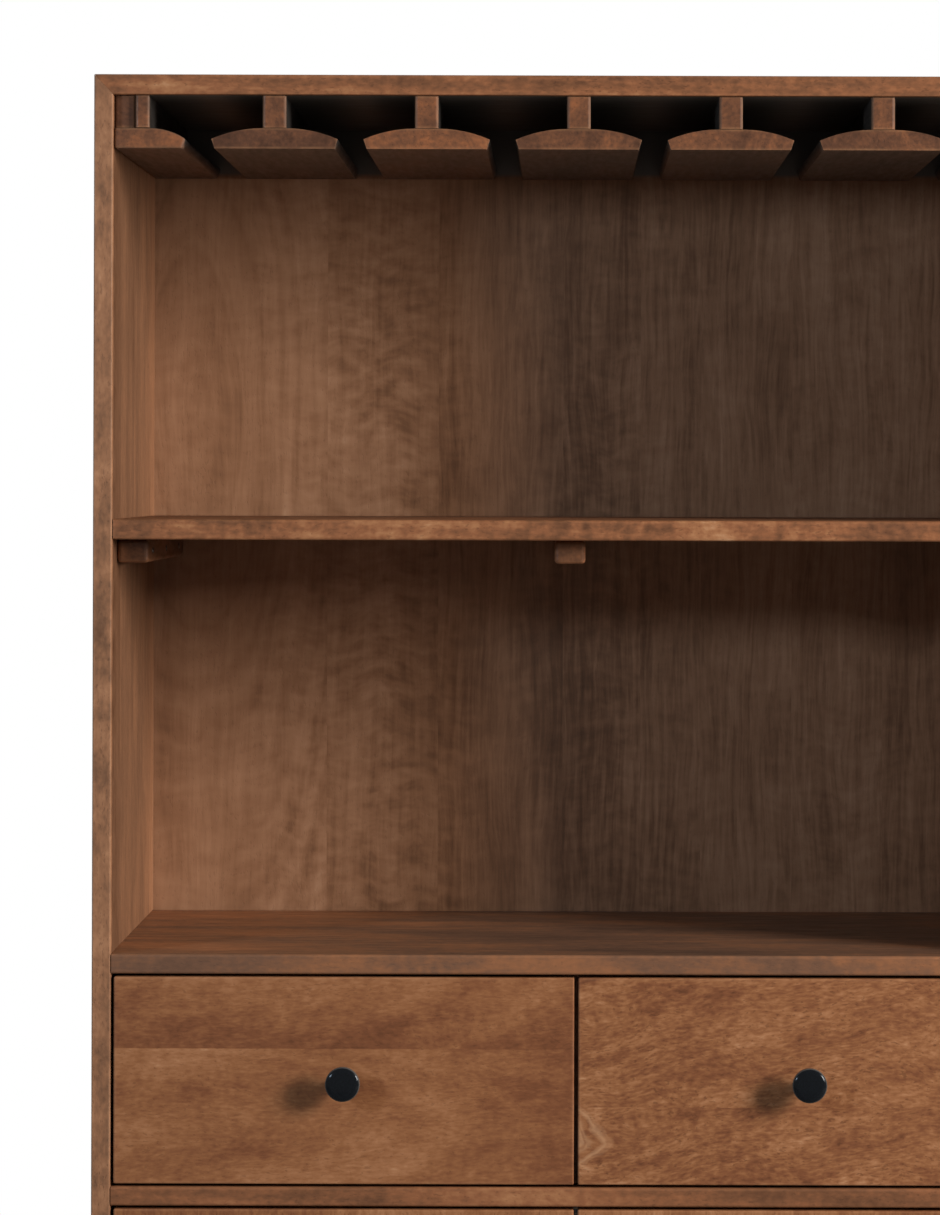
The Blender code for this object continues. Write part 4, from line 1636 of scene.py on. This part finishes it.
@dataclass
class Knob:
    """A turned knob of blackened iron, which stands for the plain one in the frame.

    Attributes:
        node: The plain knob's name.
        body: The body that the knob rides on.
        head_depth: How thick the head is.
        shoulder: Radius of the soft shoulder between the face and the rim.
        shoulder_turn: How far the shoulder turns, in degrees, before the rim takes over.
        rim_round: Radius of the rim.
        lip: Radius of the lower edge of the head.
        dome: How far the face is domed.
        neck: Radius of the neck.
        neck_flare: How far the neck spreads under the head.
        neck_drop: How far below the head it has spread.
        waist: How much slimmer the neck is at its middle.
        foot: Radius of the foot on the wood.
        foot_flare: How far the neck spreads above the foot.
        foot_depth: How thick the foot is.
        foot_round: How far the upper edge of the foot is broken.
        clearance: How far the foot is from the wood.
        around: How many facets go round.
    """

    node: str
    body: str
    head_depth: float = 0.0090
    shoulder: float = 0.0080
    shoulder_turn: float = 42.0
    rim_round: float = 0.0013
    lip: float = 0.0016
    dome: float = 0.0004
    neck: float = 0.0065
    neck_flare: float = 0.0012
    neck_drop: float = 0.0006
    waist: float = 0.0006
    foot: float = 0.0090
    foot_flare: float = 0.0010
    foot_depth: float = 0.0025
    foot_round: float = 0.0006
    clearance: float = 0.0003
    around: int = 72

    def profile(self, radius: float, reach: float) -> list[tuple[float, float]]:
        """Draws the knob's half section.

        Args:
            radius: Radius of the head.
            reach: How far the face stands from the wood.

        Returns:
            Points from the middle of the face to the foot, as a radius and a height each.
        """
        turn = math.radians(self.shoulder_turn)
        inset = self.shoulder - self.rim_round
        face = radius - self.rim_round - inset * math.sin(turn)
        top = reach - self.dome
        points = []
        for step in range(FACE_STEPS + 1):
            across = face * step / FACE_STEPS
            points.append((across, top + self.dome * (1 - (across / face) ** 2)))
        for step in range(1, SHOULDER_STEPS + 1):
            angle = turn * step / SHOULDER_STEPS
            out = face + self.shoulder * math.sin(angle)
            points.append((out, top - self.shoulder * (1 - math.cos(angle))))
        across = face + inset * math.sin(turn)
        centre = top - self.shoulder + inset * math.cos(turn)
        for step in range(1, RIM_STEPS + 1):
            angle = turn + (math.pi / 2 - turn) * step / RIM_STEPS
            out = across + self.rim_round * math.sin(angle)
            points.append((out, centre + self.rim_round * math.cos(angle)))
        under = reach - self.head_depth
        points.append((radius, under + self.lip))
        for step in range(1, LIP_STEPS + 1):
            angle = math.pi / 2 * step / LIP_STEPS
            drop = self.lip * (1 - math.sin(angle))
            points.append((radius - self.lip * (1 - math.cos(angle)), under + drop))
        middle = (radius + self.neck) / 2
        points += [(middle, under), (self.neck + self.neck_flare, under - self.neck_drop)]
        neck_top = under - self.foot_depth
        neck_end = 2 * self.foot_depth
        for step in range(NECK_STEPS + 1):
            slimmer = self.waist * math.sin(math.pi * step / NECK_STEPS)
            height = neck_top + (neck_end - neck_top) * step / NECK_STEPS
            points.append((self.neck - slimmer, height))
        points += [
            (self.neck + self.foot_flare, (neck_end + self.foot_depth) / 2),
            (self.foot - self.foot_round, self.foot_depth),
            (self.foot, self.foot_depth - self.foot_round),
            (self.foot, self.clearance),
            (0.0, self.clearance),
        ]
        return points

    def build(self) -> bpy.types.Object:
        """Turns the knob on its axis.

        Returns:
            The knob.
        """
        low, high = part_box(self.node)
        radius = (high.x - low.x) / 2
        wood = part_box("side_panel_left")[0].y
        points = self.profile(radius, wood - low.y)
        middle = Vector(((low.x + high.x) / 2, wood, (low.z + high.z) / 2))
        shape = bmesh.new()
        corners = [shape.verts.new((across, -out, 0.0)) for across, out in points]
        edges = [shape.edges.new(pair) for pair in zip(corners, corners[1:])]
        bmesh.ops.spin(
            shape,
            geom=corners + edges,
            axis=(0.0, 1.0, 0.0),
            cent=(0.0, 0.0, 0.0),
            angle=2 * math.pi,
            steps=self.around,
        )
        bmesh.ops.remove_doubles(shape, verts=shape.verts, dist=MERGE_DISTANCE)
        bmesh.ops.translate(shape, vec=middle, verts=shape.verts)
        piece = new_piece(f"{self.node}_turned", shape, BLACK_IRON.material(self.node))
        for face in piece.data.polygons:
            face.use_smooth = True
        mount(piece, self.body)
        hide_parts(self.node)
        return piece


@dataclass
class Drawer:
    """One drawer: a front of glued-up mango with a knob, and a box of paler wood.

    Attributes:
        word: Left or right.
        fronts: The front of each drawer, by that word.
    """

    word: str

    fronts: dict[str, Board] = field(
        default_factory=lambda: {
            "left": Board(
                "drawer_left_front",
                Axis.X,
                (Stave(0.796, 0.308, (0.51, 0.52), 0.35), Stave(0.870, 0.745, (0.34, 0.60), 0.45)),
                lean=-2.0,
                dive=9.0,
                tone=0.01,
                fade=(0.02, -0.125),
                figure=0.9,
                swirl=1.5,
                heart=0.10,
            ),
            "right": Board(
                "drawer_right_front",
                Axis.X,
                (Stave(0.742, 0.50, (0.52, 0.48), 0.60), Stave(0.870, 0.51, (0.52, 0.50), 0.45)),
                lean=-5.0,
                dive=9.0,
                tone=-0.03,
                figure=1.5,
                swirl=1.8,
                waves=(0.120, 0.070),
                crotch=Crotch((0.016, -0.1865, 0.724), 0.052, 0.72),
            ),
        }
    )

    def dress(self, nodes: Mapping[str, bpy.types.Object]) -> None:
        """Gives the front, the box and the runners their finishes.

        Args:
            nodes: The frame's nodes.
        """
        front = self.fronts[self.word]
        dress(nodes, front.node, FRONT_WOOD.material(front))
        drawer = f"drawer_{self.word}"
        for board in (
            Board(f"{drawer}_outer_side", Axis.Y),
            Board(f"{drawer}_inner_side", Axis.Y),
            Board(f"{drawer}_back", Axis.X),
            Board(f"{drawer}_bottom", Axis.X),
        ):
            dress(nodes, board.node, DRAWER_WOOD.material(board))
        for place in ("outer", "inner"):
            runner = Board(f"{drawer}_{place}_runner", Axis.Y)
            dress(nodes, runner.node, CARCASS_WOOD.material(runner))

    def knob(self) -> bpy.types.Object:
        """Returns the drawer's knob."""
        return Knob(f"drawer_{self.word}_knob", f"drawer_{self.word}").build()


@dataclass
class Door:
    """One door: an upright slab with a knob, two butt hinges and the strike plate of the catch.

    Attributes:
        word: Left or right.
        hand: -1 for left and 1 for right.
        leaf_space: How far apart the leaves of a closed hinge are.
        screw_rows: Heights of the screws in a leaf, from its middle.
        screw_stagger: How far the middle screw is offset from the outer two.
        screw_diameter: How wide a screw's head is.
        screw_rise: How far a screw's head stands above its leaf.
        strike_size: Width, thickness and height of the strike plate.
        strike_inset: How far the plate is from the door's free edge, and from its top.
        strike_round: How far the plate's corners are rounded.
    """

    word: str
    hand: int
    leaf_space: float = 0.0004
    screw_rows: tuple[float, ...] = (-0.017, 0.0, 0.017)
    screw_stagger: float = 0.0020
    screw_diameter: float = 0.0052
    screw_rise: float = 0.00008
    strike_size: tuple[float, float, float] = (0.017, 0.00025, 0.0095)
    strike_inset: tuple[float, float] = (0.0020, 0.0015)
    strike_round: float = 0.0020

    def dress(self, nodes: Mapping[str, bpy.types.Object]) -> None:
        """Gives the slab and the hinge leaves their finishes.

        Args:
            nodes: The frame's nodes.
        """
        panel = Board(f"door_{self.word}_panel", Axis.Z, lean=0.8 * self.hand, dive=3.0, mottle=0.45)
        dress(nodes, panel.node, FRONT_WOOD.material(panel))
        for place in ("upper", "lower"):
            for leaf in ("frame_leaf", "door_leaf"):
                dress(nodes, f"door_{self.word}_{place}_{leaf}", DARK_STEEL.material())

    def knob(self) -> bpy.types.Object:
        """Returns the door's knob."""
        return Knob(f"door_{self.word}_knob", f"door_{self.word}").build()

    def hinge_screws(self, leaf: str, body: str) -> bpy.types.Object:
        """Screws one leaf of each hinge down.

        Args:
            leaf: Which leaf of the hinge, frame_leaf or door_leaf.
            body: The body that the leaf belongs to.

        Returns:
            The screws.
        """
        outward = self.hand if leaf == "door_leaf" else -self.hand
        facing = Facing.RIGHT if outward > 0 else Facing.LEFT
        places = []
        for height in ("upper", "lower"):
            low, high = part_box(f"door_{self.word}_{height}_{leaf}")
            knuckle = high.x - low.x
            row = (low.y + knuckle + high.y) / 2
            middle = (low + high) / 2
            surface = middle.x - outward * self.leaf_space / 2
            for number, rise in enumerate(self.screw_rows):
                offset = self.screw_stagger if number % 2 else -self.screw_stagger
                places.append(ScrewPlace((surface, row + offset, middle.z + rise), facing))
        name = f"door_{self.word}_{leaf}_screws"
        return ScrewSet(name, body, places, self.screw_diameter, self.screw_rise).build()

    def strike(self) -> bpy.types.Object:
        """Sets the catch's strike plate on the back of the door.

        Returns:
            The plate.
        """
        low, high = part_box(f"door_{self.word}_panel")
        width, thickness, height = self.strike_size
        inset, drop = self.strike_inset
        free_edge = low.x if self.hand > 0 else high.x
        middle = Vector((free_edge + self.hand * (inset + width / 2), high.y, high.z - drop - height / 2))
        plate = rounded_plate(middle, width, height, thickness, self.strike_round)
        piece = new_piece(f"door_{self.word}_strike", plate, STRIKE_STEEL.material())
        mount(piece, f"door_{self.word}")
        return piece


@dataclass
class DoorCatch:
    """The magnetic catch under the dust panel, which holds both doors.

    Attributes:
        body: The body that it is fixed to.
        pole_size: Width, thickness and height of a pole strip of the magnet.
        pole_step: How far the strips are apart.
    """

    body: str = "carcass"
    pole_size: tuple[float, float, float] = (0.034, 0.00006, 0.0016)
    pole_step: float = 0.0050

    def dress(self, nodes: Mapping[str, bpy.types.Object]) -> None:
        """Gives the catch's case its finish.

        Args:
            nodes: The frame's nodes.
        """
        dress(nodes, "door_catch", CATCH_PLASTIC.material())

    def poles(self) -> list[bpy.types.Object]:
        """Sets the two pole strips in the front of the case.

        Returns:
            The strips.
        """
        low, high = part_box("door_catch")
        width, thickness, height = self.pole_size
        pieces = []
        for word, side in (("upper", 1), ("lower", -1)):
            middle = Vector(((low.x + high.x) / 2, low.y, (low.z + high.z) / 2 + side * self.pole_step / 2))
            strip = rounded_plate(middle, width, height, -thickness, height / 4)
            piece = new_piece(f"door_catch_{word}_pole", strip, DARK_STEEL.material())
            mount(piece, self.body)
            pieces.append(piece)
        return pieces


@dataclass(frozen=True)
class Softbox:
    """A lamp with a rectangular screen that points at the cabinet.

    Attributes:
        name: The lamp's name.
        place: Where it hangs.
        size: Its width and height.
        power: Its power in watts.
        colour: Its colour, in linear RGB.
        mirrored: Whether it shows in glossy surfaces.
    """

    name: str
    place: tuple[float, float, float]
    size: tuple[float, float]
    power: float
    colour: tuple[float, float, float] = (1.0, 1.0, 1.0)
    mirrored: bool = True


@dataclass
class Studio:
    """The camera of the photograph, its lamps, the pale floor and the white surroundings.

    Attributes:
        sight: The pixel of the photograph that the lens looks straight at.
        corner: The pixel of the cabinet's upper left corner, on its front plane.
        pixel: How much of the front plane a pixel shows.
        distance: How far the lens is from the front plane.
        roll: How far the photograph is turned clockwise, in degrees.
        far: How far the lens sees.
        softboxes: A key lamp at the right, a weak cool fill at the left and a soft lamp behind.
        aim: What the lamps point at.
        dim: Colour of the light that the surroundings give.
        floor_radius: Radius of the floor.
        floor_facets: How many sides the floor has.
        floor_cloud: Size of the changes of its tone.
        floor_stops: The range of noise that its tone changes in.
        floor_shades: Its colours.
        floor_bounce: Its colour as a source of light for the cabinet.
        floor_roughness: Roughness of the floor.
    """

    sight: tuple[float, float] = (566.0, 480.0)
    corner: tuple[float, float] = (92.8, 75.2)
    pixel: float = 0.0009278
    distance: float = 3.80
    roll: float = 0.17
    far: float = 50.0
    softboxes: tuple[Softbox, ...] = (
        Softbox("key_softbox", (3.59, -2.28, 2.17), (0.98, 1.35), 282.0),
        Softbox("fill_softbox", (-2.20, -2.17, 1.77), (0.35, 0.25), 30.0, (0.80, 1.0, 1.25)),
        Softbox("rear_softbox", (-1.20, 3.20, 2.60), (1.6, 1.6), 70.0, mirrored=False),
    )
    aim: tuple[float, float, float] = (0.0, -0.10, 1.15)
    dim: tuple[float, float, float, float] = (0.014, 0.018, 0.023, 1.0)
    floor_radius: float = 3.2
    floor_facets: int = 96
    floor_cloud: float = 3.0
    floor_stops: tuple[float, float] = (0.3, 0.7)
    floor_shades: tuple[str, str] = ("#efeeec", "#f3f2f0")
    floor_bounce: str = "#5c5a57"
    floor_roughness: float = 0.8

    def camera(self) -> None:
        """Sets the camera up where the photograph was taken."""
        low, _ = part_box("side_panel_left")
        _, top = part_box("top_panel")
        data = bpy.data.cameras.new("camera")
        data.sensor_width = SENSOR
        data.lens = SENSOR * self.distance / self.pixel / PHOTO_HEIGHT
        data.shift_x = (PHOTO_WIDTH / 2 - self.sight[0]) / PHOTO_HEIGHT
        data.shift_y = (self.sight[1] - PHOTO_HEIGHT / 2) / PHOTO_HEIGHT
        data.clip_end = self.far
        camera = bpy.data.objects.new("camera", data)
        camera.location = (
            low.x + (self.sight[0] - self.corner[0]) * self.pixel,
            low.y - self.distance,
            top.z - (self.sight[1] - self.corner[1]) * self.pixel,
        )
        camera.rotation_euler = (math.pi / 2, -math.radians(self.roll), 0.0)
        bpy.context.scene.collection.objects.link(camera)
        bpy.context.scene.camera = camera

    def lamps(self) -> None:
        """Hangs the softboxes."""
        for softbox in self.softboxes:
            data = bpy.data.lights.new(softbox.name, "AREA")
            data.shape = "RECTANGLE"
            data.size, data.size_y = softbox.size
            data.energy = softbox.power
            data.color = softbox.colour
            lamp = bpy.data.objects.new(softbox.name, data)
            lamp.location = softbox.place
            lamp.rotation_euler = (Vector(self.aim) - lamp.location).to_track_quat("-Z", "Y").to_euler()
            lamp.visible_glossy = softbox.mirrored
            bpy.context.scene.collection.objects.link(lamp)

    def floor(self) -> None:
        """Lays a plain pale floor."""
        shape = bmesh.new()
        bmesh.ops.create_circle(
            shape, cap_ends=True, segments=self.floor_facets, radius=self.floor_radius
        )
        material, tree, shader = new_material("pale_matt_floor")
        place = add_node(tree, "ShaderNodeTexCoord").outputs["Object"]
        noise = add_node(
            tree, "ShaderNodeTexNoise", {"Vector": place, "Scale": self.floor_cloud, "Detail": FINE}
        ).outputs["Fac"]
        stops = [(stop, linear(shade)) for stop, shade in zip(self.floor_stops, self.floor_shades)]
        pale = add_node(tree, "ShaderNodeValToRGB", {"Fac": noise}, stops).outputs["Color"]
        bounce = add_node(tree, "ShaderNodeLightPath").outputs["Is Diffuse Ray"]
        colour = add_node(
            tree, "ShaderNodeMix", {0: bounce, 6: pale, 7: linear(self.floor_bounce)}, data_type="RGBA"
        )
        tree.links.new(colour.outputs[2], shader.inputs["Base Color"])
        shader.inputs["Roughness"].default_value = self.floor_roughness
        floor = new_piece("floor", shape, material)

    def surroundings(self) -> None:
        """Makes the surroundings white to the eye and in reflections, and dim as a light."""
        world = bpy.data.worlds.new("white_surroundings")
        world.use_nodes = True
        tree = world.node_tree
        seen = add_node(tree, "ShaderNodeLightPath").outputs
        either = add_node(
            tree,
            "ShaderNodeMath",
            {0: seen["Is Camera Ray"], 1: seen["Is Glossy Ray"]},
            operation="MAXIMUM",
        ).outputs[0]
        any_of = add_node(
            tree,
            "ShaderNodeMath",
            {0: either, 1: seen["Is Transmission Ray"]},
            operation="MAXIMUM",
        ).outputs[0]
        colour = add_node(
            tree,
            "ShaderNodeMix",
            {0: any_of, 6: self.dim, 7: (1.0, 1.0, 1.0, 1.0)},
            data_type="RGBA",
        )
        background = tree.nodes["Background"]
        background.inputs["Strength"].default_value = 1.0
        tree.links.new(colour.outputs[2], background.inputs["Color"])
        bpy.context.scene.world = world


def main() -> None:
    """Loads the frame, dresses the cabinet from the carcass outwards and sets up the studio."""
    logging.basicConfig(level=logging.INFO, format="%(message)s")
    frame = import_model()
    nodes = frame["nodes"]
    studio = Studio()
    studio.camera()

    carcass = Carcass()
    carcass.dress(nodes)
    carcass.back_screws()
    StemwareRack().dress(nodes)
    shelf = OpenShelf()
    shelf.dress(nodes)
    shelf.screws()
    for word, hand in HANDS:
        drawer = Drawer(word)
        drawer.dress(nodes)
        drawer.knob()
        door = Door(word, hand)
        door.dress(nodes)
        door.knob()
        door.hinge_screws("frame_leaf", carcass.body)
        door.hinge_screws("door_leaf", f"door_{word}")
        door.strike()
    catch = DoorCatch()
    catch.dress(nodes)
    catch.poles()

    studio.lamps()
    studio.floor()
    studio.surroundings()
    bpy.context.scene.view_settings.view_transform = "Standard"


if __name__ == "__main__":
    main()
